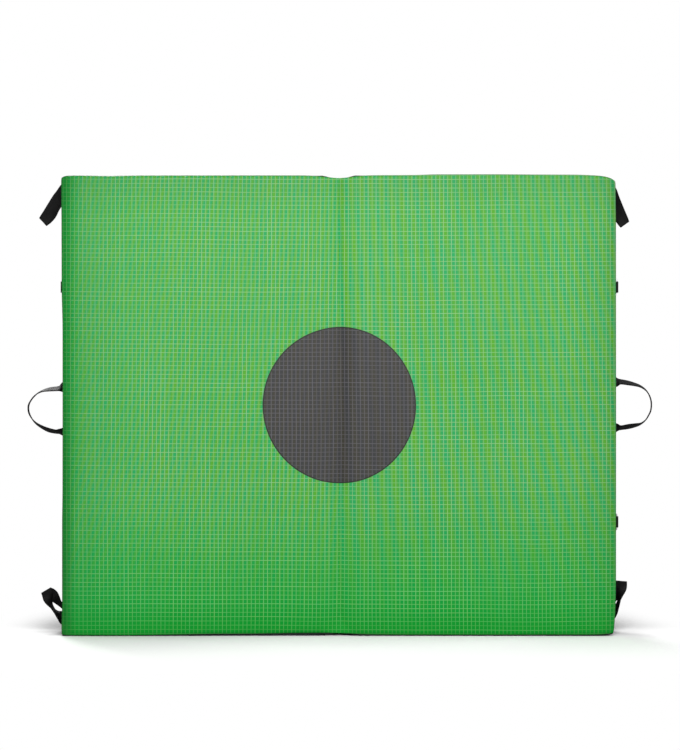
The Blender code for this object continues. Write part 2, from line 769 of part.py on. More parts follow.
def buckle_slot():
    """The slot beside the bar that both buckle halves share: where it ends, and its outline."""
    slot = eye_radius(BUCKLE_BAR) + WEB_THICK / 2 + SEAT_GAP
    hole = rounded(slot, WEB_WIDTH + 2 * SEAT_GAP, SEAT_GAP)
    return BUCKLE_BAR / 2 + slot, moved(hole, BUCKLE_BAR / 2 + slot / 2)


def belt_plug():
    """The plug of the side-release buckle, with a guide and two sprung prongs."""
    base, hole = buckle_slot()
    edge = BUCKLE_WIDTH / 2
    upper = [(base + BUCKLE_LENGTH * along, edge * across) for along, across in PLUG_SHARES]
    frame = [(-BUCKLE_BAR / 2, -edge), (-BUCKLE_BAR / 2, edge)]
    outline = frame + [(base, edge)] + upper + [(x, -y) for x, y in reversed(upper)]
    outline.append((base, -edge))
    return plate("belt_plug", "black_plastic", [outline, hole], PLUG_THICK,
                 on_back(belt_bar(1), BELT_Y, BELT_HEIGHT))


def belt_socket():
    """The socket of the side-release buckle: a bevelled shell, open towards the plug."""
    base, hole = buckle_slot()
    bar = belt_bar(-1)
    edge = BUCKLE_WIDTH / 2
    frame = [(-BUCKLE_BAR / 2, -edge), (-BUCKLE_BAR / 2, edge)]
    frame += [(base + BUCKLE_WALL, edge), (base + BUCKLE_WALL, -edge)]
    points = [[(-x, y) for x, y in line] for line in (frame, hole)]
    bars = plate("belt_socket_bars", "black_plastic", points, PLUG_THICK, on_back(bar, BELT_Y, BELT_HEIGHT))
    body_end = bar - base - BUCKLE_LENGTH
    low = (body_end, BELT_Y - PLUG_THICK / 2, BELT_HEIGHT - edge)
    high = (bar - base, BELT_Y - PLUG_THICK / 2 + BUCKLE_THICK, BELT_HEIGHT + edge)
    body = box_mesh("belt_socket", "black_plastic", low, high)
    rim = body.modifiers.new("rim", "BEVEL")
    rim.width = BUCKLE_WALL / 2
    rim.segments = 1
    boolean(body, as_cutter(bars), "UNION")
    mouth_low = (low[0] - BUCKLE_WALL, low[1] + BUCKLE_WALL, low[2] + BUCKLE_WALL)
    mouth_high = (high[0] - BUCKLE_WALL, high[1] - BUCKLE_WALL, high[2] - BUCKLE_WALL)
    boolean(body, box_mesh("socket_mouth", "black_plastic", mouth_low, mouth_high, CUTTERS), "DIFFERENCE")
    window = BUCKLE_LENGTH / 3
    window_low = (low[0] + window, mouth_low[1], low[2] - BUCKLE_WALL)
    window_high = (low[0] + 2 * window, mouth_high[1], high[2] + BUCKLE_WALL)
    boolean(body, box_mesh("socket_windows", "black_plastic", window_low, window_high, CUTTERS), "DIFFERENCE")
    return body


def as_cutter(curve_object):
    """A curve's solid as a closed mesh among the cutters."""
    bpy.context.view_layer.update()
    graph = bpy.context.evaluated_depsgraph_get()
    mesh = bpy.data.meshes.new_from_object(curve_object.evaluated_get(graph))
    bm = bmesh.new()
    bm.from_mesh(mesh)
    bmesh.ops.remove_doubles(bm, verts=bm.verts, dist=SEAT_GAP / 10)
    bmesh.ops.recalc_face_normals(bm, faces=bm.faces)
    bm.to_mesh(mesh)
    bm.free()
    made = bpy.data.objects.new(curve_object.name + "_solid", mesh)
    made.matrix_world = curve_object.matrix_world
    made.hide_render = True
    made.display_type = "WIRE"
    CUTTERS.objects.link(made)
    bpy.data.objects.remove(curve_object)
    return made


def zip_tape(name, side):
    """A zip: its tape on the back panel and the coil that stands along the middle."""
    near = side * (HALF_WIDTH - ZIP_LENGTH) / 2
    far = near + side * ZIP_LENGTH
    y = ON_BACK
    roof = ZIP_TAPE_THICK + COIL_THICK
    profile = [(-ZIP_TAPE / 2, 0), (ZIP_TAPE / 2, 0), (ZIP_TAPE / 2, ZIP_TAPE_THICK)]
    profile += [(COIL_WIDTH / 2, ZIP_TAPE_THICK), (COIL_WIDTH / 2, roof), (-COIL_WIDTH / 2, roof)]
    profile += [(-COIL_WIDTH / 2, ZIP_TAPE_THICK), (-ZIP_TAPE / 2, ZIP_TAPE_THICK)]
    rings = [[(x, y + depth, ZIP_HEIGHT + up) for up, depth in profile] for x in (near, far)]
    return loft(name, "black_nylon", rings)


def zip_slider(name, side):
    """A zip slider astride the coil, with its pull hanging from a bridge."""
    x = side * ((HALF_WIDTH - ZIP_LENGTH) / 2 + SLIDER_LENGTH)
    seat = ON_BACK + ZIP_TAPE_THICK + SEAT_GAP
    coil_roof = COIL_THICK
    top = coil_roof + SLIDER_ROOF
    channel = COIL_WIDTH / 2 + SEAT_GAP
    profile = [(-SLIDER_WIDTH / 2, 0), (-channel, 0), (-channel, coil_roof), (channel, coil_roof)]
    profile += [(channel, 0), (SLIDER_WIDTH / 2, 0), (SLIDER_WIDTH / 2, top), (-SLIDER_WIDTH / 2, top)]
    ends = (x - SLIDER_LENGTH / 2, x + SLIDER_LENGTH / 2)
    rings = [[(end, seat + depth, ZIP_HEIGHT + up) for up, depth in profile] for end in ends]
    slider = loft(name, "bare_metal", rings)
    low = (x - PULL_WIDTH / 2, seat + top - PULL_THICK / 2, ZIP_HEIGHT - PULL_LENGTH)
    high = (x + PULL_WIDTH / 2, seat + top + PULL_THICK, ZIP_HEIGHT + SLIDER_WIDTH / 4)
    boolean(slider, box_mesh(name + "_pull", "bare_metal", low, high, CUTTERS), "UNION")
    return slider


def closures(fold):
    """The straps that hold the pad shut: one set near the top and one near the bottom."""
    for word, height_share in (("upper", CLOSURE_UPPER_SHARE), ("lower", CLOSURE_LOWER_SHARE)):
        height = HEIGHT * height_share
        hang(closure_tab("closure_tab_" + word, height), fold)
        strap_pivot = pivot("closure_strap_pivot_" + word, (RING_BAR_X, RING_Y, height), fold)
        hang(closure_ring("closure_ring_" + word, height), strap_pivot)
        hang(closure_strap("closure_strap_" + word, height), strap_pivot)
        hook_pivot = pivot("closure_hook_pivot_" + word, (HOOK_BAR_X, RING_Y, height), strap_pivot)
        hang(closure_hook("closure_hook_" + word, height), hook_pivot)
        catch_loop("catch_loop_" + word, height)


def seam_pieces(fold):
    """The handles and corner loops, each on its own pivot in a side seam."""
    left_sizes = (LEFT_HANDLE_SHARE, LEFT_HANDLE_SPREAD, LEFT_HANDLE_REACH)
    right_sizes = (RIGHT_HANDLE_SHARE, RIGHT_HANDLE_SPREAD, RIGHT_HANDLE_REACH)
    left_handle = handle("left_handle", -1, *left_sizes)
    right_handle = handle("right_handle", 1, *right_sizes)
    hang(left_handle, pivot("left_handle_pivot", (-SEAM_X, SEAM_Y, 0)))
    hang(right_handle, pivot("right_handle_pivot", (SEAM_X, SEAM_Y, 0), fold))
    top = HEIGHT - TOP_LOOP_INSET
    top_tip = top - TOP_LOOP_DROP
    low = BOTTOM_LOOP_ROOT
    high = BOTTOM_LOOP_ROOT + BOTTOM_LOOP_SPREAD
    bottom_tip = high + BOTTOM_LOOP_RISE
    loops = (
        ("top_left_loop", -1, top, top, TOP_LEFT_REACH, top_tip),
        ("top_right_loop", 1, top, top, TOP_RIGHT_REACH, top_tip),
        ("bottom_left_loop", -1, high, low, BOTTOM_LEFT_REACH, bottom_tip),
        ("bottom_right_loop", 1, high, low, BOTTOM_RIGHT_REACH, bottom_tip),
    )
    for name, side, one, two, reach, tip in loops:
        seam_x = loop_seam(one)
        turn = pivot(name + "_pivot", (side * seam_x, SEAM_Y, 0), fold if side > 0 else None)
        hang(corner_loop(name, side, seam_x, one, two, reach, tip), turn)


def carry_system():
    """The shoulder straps, haul handle and waist belt on the left half's back."""
    patch("yoke_patch", CARRY_X, YOKE_BOTTOM, YOKE_WIDTH, YOKE_HEIGHT)
    for word, side in (("outer", -1), ("inner", 1)):
        shoulder_strap("shoulder_strap_" + word, side)
        ladder_lock("ladder_lock_" + word, side)
        patch("anchor_patch_" + word, lock_place(side)[0], ANCHOR_BOTTOM, ANCHOR_WIDTH, ANCHOR_HEIGHT)
        lower_webbing("lower_webbing_" + word, side)
    hang(haul_handle(), pivot("haul_handle_pivot", (CARRY_X, ON_BACK + HAUL_THICK / 2, HAUL_TOP)))
    for word, side, buckle in (("outer", -1, belt_socket), ("inner", 1, belt_plug)):
        turn = pivot("belt_pivot_" + word, (belt_root(side), BELT_Y - eye_radius(BUCKLE_BAR), BELT_HEIGHT))
        hang(belt_wing("belt_" + word, side), turn)
        hang(buckle(), turn)


def zips(fold):
    """The zips of both halves and their sliders."""
    zip_tape("left_zip", -1)
    zip_slider("left_zip_slider", -1)
    hang(zip_tape("right_zip", 1), fold)
    hang(zip_slider("right_zip_slider", 1), fold)


def build():
    """Model the whole pad."""
    fold = pivot("fold_pivot", (0, FRONT, 0))
    half(-1, "left")
    for piece in half(1, "right"):
        hang(piece, fold)
    hinge_seam()
    seam_pieces(fold)
    closures(fold)
    carry_system()
    zips(fold)


build()
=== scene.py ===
"""Looks of a hinge-style bouldering crash pad, open and standing on its long edge."""
import math

import bpy
import numpy as np
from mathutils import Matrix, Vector
from numpy.linalg import norm


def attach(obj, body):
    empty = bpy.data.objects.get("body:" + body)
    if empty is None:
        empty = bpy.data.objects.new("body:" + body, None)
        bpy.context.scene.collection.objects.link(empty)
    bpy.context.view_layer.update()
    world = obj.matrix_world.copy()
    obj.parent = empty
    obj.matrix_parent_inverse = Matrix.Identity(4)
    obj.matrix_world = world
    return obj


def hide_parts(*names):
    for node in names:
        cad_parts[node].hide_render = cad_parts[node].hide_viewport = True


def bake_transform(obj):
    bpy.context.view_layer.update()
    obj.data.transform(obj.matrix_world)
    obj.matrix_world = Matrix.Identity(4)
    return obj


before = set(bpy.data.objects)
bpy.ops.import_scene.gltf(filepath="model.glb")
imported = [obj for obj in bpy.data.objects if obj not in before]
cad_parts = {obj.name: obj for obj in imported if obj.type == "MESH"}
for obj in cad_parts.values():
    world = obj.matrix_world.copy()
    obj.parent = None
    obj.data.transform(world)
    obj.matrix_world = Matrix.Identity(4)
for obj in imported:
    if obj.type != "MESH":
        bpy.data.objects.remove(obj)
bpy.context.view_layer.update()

SCENE = bpy.context.scene

HALVES = (("left", -1), ("right", 1))
STRAPS = (("outer", -1), ("inner", 1))

# Places and sizes from the CAD source, in metres
HALF_WIDTH = 0.6
HEIGHT = 1.0
FRONT = -0.072
FACE_SEAM = -0.0635
BACK = 0.028
SEAM_X = 0.6007
SEAM_Y = 0.0265
SEAT_GAP = 0.0003
ON_BACK = BACK + SEAT_GAP
FOLD_GAP = 0.0015
WEB = 0.025
WEB_THICK = 0.0016
CARRY_X = -0.3
STRAP_SEAT = 0.0301
RING_Y = 0.03232
RING_BAR_X = 0.61668
STRAP_BAR_X = 0.58568
HOOK_BAR_X = 0.36568
BELT_Y = 0.03267
BELT_HEIGHT = 0.14
LAP = 0.022
# The height of each closure, and how far its catch loop reaches out
CLOSURES = {"upper": (0.762, 0.016), "lower": (0.241, 0.0118)}

# The camera, and the photograph's scale: metres for a pixel at the side seams
CAMERA = (0.0027, -4.572, 0.567)
LENS = 99.55
MIDDLE_PIXEL = (340, 375)
SEAM_PIXEL = 0.002218


# Camera, lamps, floor

def placed(name, data, location=(0, 0, 0)):
    obj = bpy.data.objects.new(name, data)
    obj.location = location
    SCENE.collection.objects.link(obj)
    return obj


def camera():
    data = bpy.data.cameras.new("camera")
    data.lens, data.sensor_width = LENS, 36
    SCENE.camera = placed("camera", data, CAMERA)
    SCENE.camera.rotation_euler = (math.radians(90), 0, 0)


def lamp(name, place, aim, size, watts):
    """A soft lamp that points at a height on the pad's middle line."""
    data = bpy.data.lights.new(name, "AREA")
    data.shape = "RECTANGLE"
    data.size, data.size_y = size
    data.energy = watts
    obj = placed(name, data, place)
    obj.rotation_euler = (Vector((0, 0, aim)) - Vector(place)).to_track_quat("-Z", "Y").to_euler()


def worked_by(operation):
    return lambda value, *other: value.n.math(operation, value, *other)


class Value:
    """What a node gives. Plain arithmetic with it adds the nodes that work it out."""

    def __init__(self, n, socket):
        self.n, self.socket = n, socket

    def __rsub__(self, other):
        return self.n.math("SUBTRACT", other, self)

    __add__, __sub__, __mul__ = worked_by("ADD"), worked_by("SUBTRACT"), worked_by("MULTIPLY")
    __truediv__, __pow__, __abs__ = worked_by("DIVIDE"), worked_by("POWER"), worked_by("ABSOLUTE")


class Nodes:
    """A short way to write a node tree: inputs may be numbers, colours, sockets or values."""

    def __init__(self, tree):
        self.tree = tree

    def add(self, kind, inputs=None, **settings):
        """A node of a kind such as Math, which stands for ShaderNodeMath."""
        node = self.tree.nodes.new("ShaderNode" + kind)
        for key, value in settings.items():
            setattr(node, key, value)
        for key, value in (inputs or {}).items():
            self.put(node.inputs[key], value)
        return node

    def get(self, kind, inputs=None, output=0, **settings):
        return Value(self, self.add(kind, inputs, **settings).outputs[output])

    def put(self, socket, value):
        value = getattr(value, "socket", value)
        if isinstance(value, bpy.types.NodeSocket):
            self.tree.links.new(value, socket)
        else:
            socket.default_value = (*value, 1) if socket.type == "RGBA" else value

    def math(self, operation, *values, clamp=False):
        return self.get("Math", dict(enumerate(values)), operation=operation, use_clamp=clamp)

    def mix(self, share, a, b):
        return self.get("Mix", {0: share, 6: a, 7: b}, 2, data_type="RGBA")

    def noise(self, scale, detail=2, rough=0.5, vector=None, stretch=None):
        vector = vector or self.get("TexCoord", output="Object")
        if stretch:
            vector = self.get("Mapping", {"Vector": vector, "Scale": stretch})
        return self.get("TexNoise", {"Vector": vector, "Scale": scale, "Detail": detail, "Roughness": rough})

    def step(self, value, low, high, start=0, end=1):
        inputs = dict(enumerate((value, low, high, start, end)))
        return self.get("MapRange", inputs, interpolation_type="SMOOTHSTEP")

    def wave(self, phase):
        """From 0 to 1 and back once each time the phase grows by 1."""
        return self.math("SINE", phase * (2 * math.pi)) * 0.5 + 0.5

    def split(self, vector):
        return [Value(self, output) for output in self.add("SeparateXYZ", {0: vector}).outputs]

    def here(self):
        return self.split(self.get("TexCoord", output="Object"))

    def uv(self):
        return self.split(self.get("UVMap", uv_map="UVMap"))[:2]

    def near(self, value, pitch):
        """The distance from the nearest of evenly spaced lines."""
        return abs(self.math("FRACT", value / pitch) - 0.5) * pitch

    def shade(self, key, value):
        self.put(self.bsdf.inputs[key], value)

    def bump(self, height, distance, strength):
        self.shade("Normal", self.get("Bump", {"Height": height, "Distance": distance, "Strength": strength}))


def surface(name, roughness, levels):
    """A Principled material and its nodes."""
    made = bpy.data.materials.new(name)
    made.use_nodes = True
    n = Nodes(made.node_tree)
    n.made, n.bsdf = made, made.node_tree.nodes["Principled BSDF"]
    for key, level in {"Roughness": roughness, **levels}.items():
        n.shade(key, level)
    return n


WORLD_LEVEL = 0.13
FLOOR_GAIN = 1.1


def stage():
    """A plain pale floor that keeps the shadow and passes into a white surround."""
    made = bpy.data.materials.new("floor")
    made.use_nodes = True
    made.node_tree.nodes.remove(made.node_tree.nodes["Principled BSDF"])
    n = Nodes(made.node_tree)
    ray = n.add("LightPath").outputs
    matt = n.get("BsdfDiffuse", {"Color": n.mix(ray["Is Glossy Ray"], (0.7, 0.7, 0.7), (0.2, 0.2, 0.2))})
    white = n.get("Emission", {"Color": (1, 1, 1), "Strength": 1})
    close = n.get("AmbientOcclusion", {"Distance": 0.45}, "AO", samples=12)
    far = n.get("AmbientOcclusion", {"Distance": 1.5}, "AO", samples=8)
    x, y, _ = n.here()
    # How far a place is from the pad: the way past its ends counts three times
    past_end = n.math("MAXIMUM", abs(x) - HALF_WIDTH, 0) * 3
    past_face = n.math("MAXIMUM", abs(y) - 0.05, 0)
    away = n.math("SQRT", past_end ** 2 + past_face ** 2)
    # Painted shade: the floor's colour is darkened by ambient occlusion, softly before the pad and more deeply
    # behind it and beside its corners
    ends = n.step(abs(x), 0.595, 0.625)
    in_front = n.step((y + 0.06) / (ends * 0.09 + 0.12), 0, 1, 1, 0)
    painted_shade_behind = close ** 2.5 * far ** 1.7
    aside = n.step(abs(x - 0.12), 0.15, 0.75, 0, 0.7)
    level = (in_front * (close ** aside - painted_shade_behind) + painted_shade_behind) * FLOOR_GAIN
    # Painted: close to the pad the floor's colour is made less green, to even out the green light that the pad
    # throws on the paper
    painted_green_cancel = n.step(abs(x), 0.35, 0.62, 1, 0) * (in_front * n.step(away, 0, 0.6, 0.085, 0))
    painted_floor_shade = n.get("CombineColor", {0: level, 1: level * (1 - painted_green_cancel), 2: level})
    lit = n.get("BsdfDiffuse", {"Color": painted_floor_shade})
    seen = n.get("MixShader", {0: n.step(away, 0.12, 0.6), 1: lit, 2: white})
    n.put(made.node_tree.nodes["Material Output"].inputs[0],
          n.get("MixShader", {0: ray["Is Camera Ray"], 1: matt, 2: seen}))
    mesh = bpy.data.meshes.new("floor")
    mesh.from_pydata([(-9, -9, 0), (9, -9, 0), (9, 12, 0), (-9, 12, 0)], [], [(0, 1, 2, 3)])
    mesh.materials.append(made)
    placed("floor", mesh)

    world = bpy.data.worlds.new("surround")
    SCENE.world = world
    world.use_nodes = True
    n = Nodes(world.node_tree)
    soft = world.node_tree.nodes["Background"]
    n.put(soft.inputs[0], (1, 1, 1))
    n.put(soft.inputs[1], WORLD_LEVEL)
    white = n.get("Background", {"Color": (1, 1, 1), "Strength": 1})
    ray = n.add("LightPath").outputs
    seen = n.math("ADD", ray["Is Camera Ray"], ray["Is Transmission Ray"], clamp=True)
    seen = n.math("MAXIMUM", seen, n.math("MULTIPLY", ray["Is Glossy Ray"], 0.25))
    n.put(world.node_tree.nodes["World Output"].inputs[0],
          n.get("MixShader", {0: seen, 1: soft.outputs[0], 2: white}))


camera()
stage()
lamp("key_high", (0.7, -3.2, 4.4), 0.45, (2.4, 1.5), 110)
lamp("front_soft", (0.1, -4.4, 1.9), 0.45, (2.0, 1.2), 111)
lamp("back_soft", (-1.6, 3.4, 3.4), 0.5, (2.2, 1.6), 170)
lamp("right_soft", (4.2, 0.5, 2.4), 0.5, (1.6, 1.6), 60)
lamp("left_soft", (-4.2, 0.5, 2.4), 0.5, (1.6, 1.6), 60)
SCENE.view_settings.view_transform = "Standard"


# Materials

# The grid's pitch across and up, and across on the right half, as measured in the photograph
GRID_ACROSS = 0.008893
GRID_UP = 0.00941
GRID_RIGHT = 0.008617
DISC_MIDDLE = (0.004, 0.502)
DISC_RADIUS = 0.17


def threads(n, across, along, pitch, core, edge, seed):
    """Evenly spaced threads that each show more or less strongly along their length."""
    body = n.step(n.near(across, pitch), core, edge, 1, 0)
    index = n.math("FLOOR", across / pitch)
    place = n.get("CombineXYZ", {0: index * 5.37, 1: along * 3.1, 2: seed})
    return body * n.step(n.noise(1, 1, vector=place), 0.28, 0.7, 0.48, 1)


def ripstop():
    """Green ripstop nylon: a pale grid of threads, shot with two greens, and a plain dark printed disc."""
    n = surface("green_ripstop", 0.54, {})
    u, v = n.uv()
    x, _, z = n.here()
    drifted_u = u + (n.noise(3.2, 1) * 0.0045 - 0.00225)
    drifted_v = v + (n.noise(2.7, 1, stretch=(1.4, 1, 0.8)) * 0.0045 - 0.00225)
    upright = threads(n, drifted_u, v, GRID_ACROSS, 0.00036, 0.00112, 3)
    level = threads(n, drifted_v, u, GRID_UP, 0.0003, 0.00098, 11)
    thread = n.math("MAXIMUM", upright, level, clamp=True)
    # Two greens that trade places from column to column, in slow slanted waves
    left = (v * 24.1 + 55.3) * u - v * 8.0
    right = (v * 13.8 + 31.7) * u + v * 2.0
    phase = n.math("GREATER_THAN", u, 0) * (right - left) + left
    uneven = n.noise(26, 3, 0.6, stretch=(1, 1, 0.45))
    shot = n.math("ADD", n.wave(phase), uneven * 1.1 - 0.55, clamp=True)
    # Painted shade: the cloth is made deeper in colour, and less glossy, towards the floor and along the left edge,
    # standing in for the sheen and light that fall off there
    painted_foot_shade = n.math("MINIMUM", n.step(v, 0, 0.37), n.step(u, -0.606, -0.545))
    n.shade("Specular IOR Level", painted_foot_shade * 0.2 + 0.16)
    cell = n.mix(shot, (0.0005, 0.34, 0.092), (0.072, 0.352, 0.002))
    cell = n.mix(n.noise(2.2, 3) * 0.14, cell, (0.008, 0.3, 0.028))
    cell = n.mix(painted_foot_shade, (0.0004, 0.318, 0.03), cell)
    # The pale threads' colour is partly their own and partly a painted sheen; towards the floor it is dimmed as
    # painted shade
    pale = n.mix(n.noise(70, 2, stretch=(1, 1, 0.5)), (0.3, 0.47, 0.13), (0.18, 0.49, 0.27))
    pale = n.mix(painted_foot_shade, n.mix(0.5, pale, (0.05, 0.47, 0.08)), pale)
    cloth = n.mix(thread, cell, pale)
    # Painted shade: the cloth deepens towards the left end, and more strongly in the last few centimetres above the
    # floor
    cloth = n.mix(n.step(x, -0.36, -0.5, 0, 0.2), cloth, (0, 0.31, 0.06))
    cloth = n.mix(n.step(v, 0, 0.075, 0.45, 0), cloth, (0.0003, 0.305, 0.012))
    # Painted shade: darker bands along the left, right and upper edge, where the cloth turns away from the light
    left_painted_shade = n.step(z, 0.35, 0.7, 0.56, 0.38)
    narrow_painted_shade = n.math("MAXIMUM", n.step(x, -0.606, -0.566, left_painted_shade, 0), n.step(x, 0.61, 0.572, 0.24, 0))
    broad_painted_shade = n.math("MAXIMUM", n.step(x, -0.62, -0.45, 0.17, 0), n.step(x, 0.62, 0.47, 0.14, 0))
    cloth = n.mix(narrow_painted_shade + broad_painted_shade + n.step(z, 0.9, 1, 0, 0.12), cloth, (0.0005, 0.08, 0.004))
    # The printed disc with its darker rim
    out = n.math("SQRT", (u - DISC_MIDDLE[0]) ** 2 + (v - DISC_MIDDLE[1]) ** 2)
    inside = n.step(out, DISC_RADIUS - 0.0005, DISC_RADIUS + 0.0005, 1, 0)
    rim = n.step(abs(out - (DISC_RADIUS - 0.001)), 0.0009, 0.0022, 1, 0)
    ink = n.mix(thread * 0.55, n.mix(shot, (0.028, 0.029, 0.032), (0.035, 0.032, 0.022)), (0.17, 0.165, 0.19))
    n.shade("Base Color", n.mix(inside, cloth, n.mix(rim, ink, (0.01, 0.009, 0.008))))
    weave = n.wave(u / 0.00062) + n.wave(v / 0.00062)
    n.bump(weave * 0.1 + thread, 0.0001, 0.5)
    return n.made


def tone(shade, *levels):
    return tuple(shade * level for level in levels)


def nylon(name, shade, pitch, puckers=False):
    """Heavy black pack cloth: a plain basket weave with a dry sheen, drawn in at its seams."""
    n = surface(name, 0.66, {"Specular IOR Level": 0.3, "Sheen Weight": 0.06, "Sheen Roughness": 0.5})
    u, v = n.uv()
    weave = n.math("MAXIMUM", n.wave(u / pitch), n.wave(v / pitch + 0.5))
    base = n.mix(n.noise(5, 4, 0.6), tone(shade, 0.8, 0.82, 0.88), tone(shade, 1.35, 1.36, 1.4))
    # Painted shade: the gaps of the weave are darker
    n.shade("Base Color", n.mix((1 - weave) * 0.6, base, (0.004, 0.004, 0.0045)))
    height = (n.noise(60, 2) * 0.35 + weave) * 0.000126
    height = n.noise(5.5, 3, 0.55) * 0.006 + height
    if puckers:
        wander = n.noise(14, 2) * 0.03
        out = abs(u)
        for along, near_edge in ((v, n.math("MAXIMUM", n.step(out, 0.56, 0.594), n.step(out, 0.042, 0.006))),
                                 (u, n.math("MAXIMUM", n.step(v, 0.958, 0.994), n.step(v, 0.042, 0.006)))):
            height = n.wave((along + wander) / 0.019) * near_edge ** 2 * 0.0007 + height
    n.bump(height, 1.0, 1.0)
    return n.made


def webbing_look(name, shade):
    """Black nylon webbing: chevrons across the width and a plain edge."""
    n = surface(name, 0.62, {"Specular IOR Level": 0.16})
    u, v = n.uv()
    rib = n.wave(u / 0.0019 + n.near(v, 0.0052) * (1 / 0.0026))
    weave = n.wave(v / 0.00087) * 0.35 + rib * 0.65
    weave = weave * (1 - n.step(abs(v), 0.011, 0.0116) * 0.6)
    # Painted shade: the colour follows the weave's relief, darker in its hollows and along the lower plain edge
    base = n.mix(weave, tone(shade, 0.55, 0.55, 0.58), tone(shade, 1.5, 1.5, 1.55))
    n.shade("Base Color", n.mix(n.noise(35, 3) * 0.25, base, tone(shade, 2, 1.95, 1.9)))
    n.bump(weave, 0.00022, 0.8)
    return n.made


def thread_look():
    """Bonded sewing thread, twisted and a little shiny."""
    n = surface("black_thread", 0.42, {})
    twist = n.noise(900, 1, stretch=(1, 1, 0.3))
    n.shade("Base Color", n.mix(twist, (0.042, 0.042, 0.0441), (0.078, 0.078, 0.0819)))
    n.bump(twist, 0.00008, 0.6)
    return n.made


def plastic():
    """Moulded black acetal with a fine grain."""
    n = surface("black_plastic", 0.36, {})
    grain = n.noise(700, 2)
    n.shade("Base Color", n.mix(n.noise(40, 2), (0.01, 0.01, 0.011), (0.018, 0.018, 0.019)))
    n.shade("Roughness", grain * 0.14 + 0.3)
    n.bump(grain, 0.00004, 0.5)
    return n.made


def metal():
    """Plated steel with a faint brushing and dull patches."""
    n = surface("bare_metal", 0.3, {"Metallic": 1})
    brush = n.noise(220, 3, stretch=(0.15, 1, 1))
    n.shade("Base Color", n.mix(n.noise(60, 3), (0.5, 0.51, 0.52), (0.66, 0.66, 0.67)))
    n.shade("Roughness", brush * 0.22 + 0.2)
    n.bump(brush, 0.00003, 0.4)
    return n.made


def foam(name, dark, pale, size):
    """Foam with open or closed cells."""
    n = surface(name, 0.92, {"Specular IOR Level": 0.2})
    cells = n.get("TexVoronoi", {"Vector": n.get("TexCoord", output="Object"), "Scale": size}, "Distance")
    # Painted shade: each cell is darker in its hollow middle
    n.shade("Base Color", n.mix(n.step(cells, 0.1, 0.7), dark, pale))
    n.bump(cells, 0.0006, 0.6)
    return n.made


RIPSTOP = ripstop()
NYLON = nylon("black_nylon", 0.017, 0.0011, puckers=True)
NYLON_SIDE = nylon("black_nylon_side", 0.0165, 0.0009)
WEBBING = webbing_look("black_webbing", 0.0036)
BINDING = webbing_look("binding_tape", 0.005)
STITCH = thread_look()
PLASTIC = plastic()
METAL = metal()
CLOSED_FOAM = foam("closed_foam", (0.035, 0.037, 0.04), (0.075, 0.08, 0.085), 900)
OPEN_FOAM = foam("open_foam", (0.36, 0.32, 0.2), (0.62, 0.57, 0.42), 420)


# Meshes

def piece(mesh, material, slot, body=None, replaces=(), smooth=40):
    mesh.materials.append(material)
    obj = placed(mesh.name, mesh)
    mesh.shade_smooth()
    if smooth < 180:
        mesh.set_sharp_from_angle(angle=math.radians(smooth))
    if body:
        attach(obj, body)
    if replaces:
        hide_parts(*replaces)
    return obj


def eased(obj, width, segments, degrees):
    bevel = obj.modifiers.new("eased_edges", "BEVEL")
    bevel.width = width
    bevel.segments = segments
    bevel.limit_method = "ANGLE"
    bevel.angle_limit = math.radians(degrees)


def mesh_of(name, verts, faces, uvs=None):
    """A mesh with one UV for each vertex."""
    mesh = bpy.data.meshes.new(name)
    mesh.from_pydata([tuple(map(float, v)) for v in verts], [], [tuple(map(int, f)) for f in faces])
    if uvs is not None:
        layer = mesh.uv_layers.new(name="UVMap")
        index = np.zeros(len(mesh.loops), dtype=np.int64)
        mesh.loops.foreach_get("vertex_index", index)
        layer.data.foreach_set("uv", np.asarray(uvs, dtype=np.float32)[index].ravel())
    mesh.validate()
    return mesh


def grid_mesh(name, points, uvs, flip=False):
    """An open sheet through rows and columns of points."""
    rows, columns = points.shape[:2]
    index = np.arange(rows * columns).reshape(rows, columns)
    quads = np.stack((index[:-1, :-1], index[:-1, 1:], index[1:, 1:], index[1:, :-1]), -1).reshape(-1, 4)
    return mesh_of(name, points.reshape(-1, 3), quads[:, ::-1] if flip else quads, uvs.reshape(-1, 2))


def tube(count, size, base=0):
    """The faces of a closed solid through rings of vertices."""
    faces = []
    last = base + (count - 1) * size
    for i in range(base, last, size):
        faces += [(i + j, i + (j + 1) % size, i + size + (j + 1) % size, i + size + j) for j in range(size)]
    return faces + [tuple(range(base, base + size))[::-1], tuple(range(last, last + size))]


def lofted(name, rings, along, across):
    """A closed solid through rings of points, with metres along and across as its UVs."""
    uvs = np.stack(np.meshgrid(along, across, indexing="ij"), -1)
    return mesh_of(name, rings.reshape(-1, 3), tube(*rings.shape[:2]), uvs.reshape(-1, 2))


def curve_rows(rows, steps):
    """Rows read from a smooth curve through the given rows."""
    rows = np.array(rows, dtype=float)
    padded = np.vstack((2 * rows[0] - rows[1], rows, 2 * rows[-1] - rows[-2]))
    found = []
    for i in range(len(rows) - 1):
        a, b, c, d = padded[i:i + 4]
        for t in np.arange(steps) / steps:
            bend = (2 * a - 5 * b + 4 * c - d) * t ** 2 + (3 * b - a - 3 * c + d) * t ** 3
            found.append((2 * b + (c - a) * t + bend) / 2)
    return np.array(found + [rows[-1]])


def distances(points):
    """How far along their line each of the points lies."""
    return np.concatenate(([0], np.cumsum(norm(np.diff(points, axis=0), axis=1))))


def even(points, step):
    """The points of a polyline, respaced evenly."""
    points = np.asarray(points, dtype=float)
    along = distances(points[:, :3])
    at = np.linspace(0, along[-1], max(2, int(round(along[-1] / step)) + 1))
    return np.stack([np.interp(at, along, column) for column in points.T], 1)


# Half of a strip's section, in shares of its half width and half thickness; the rest mirrors it
HALF_SECTION = np.array(((-1, 0), (-0.985, 0.62), (-0.93, 0.94), (-0.8, 1), (-0.4, 1), (0, 1),
                         (0.4, 1), (0.8, 1), (0.93, 0.94), (0.985, 0.62)))
SECTION = np.concatenate((HALF_SECTION, -HALF_SECTION))


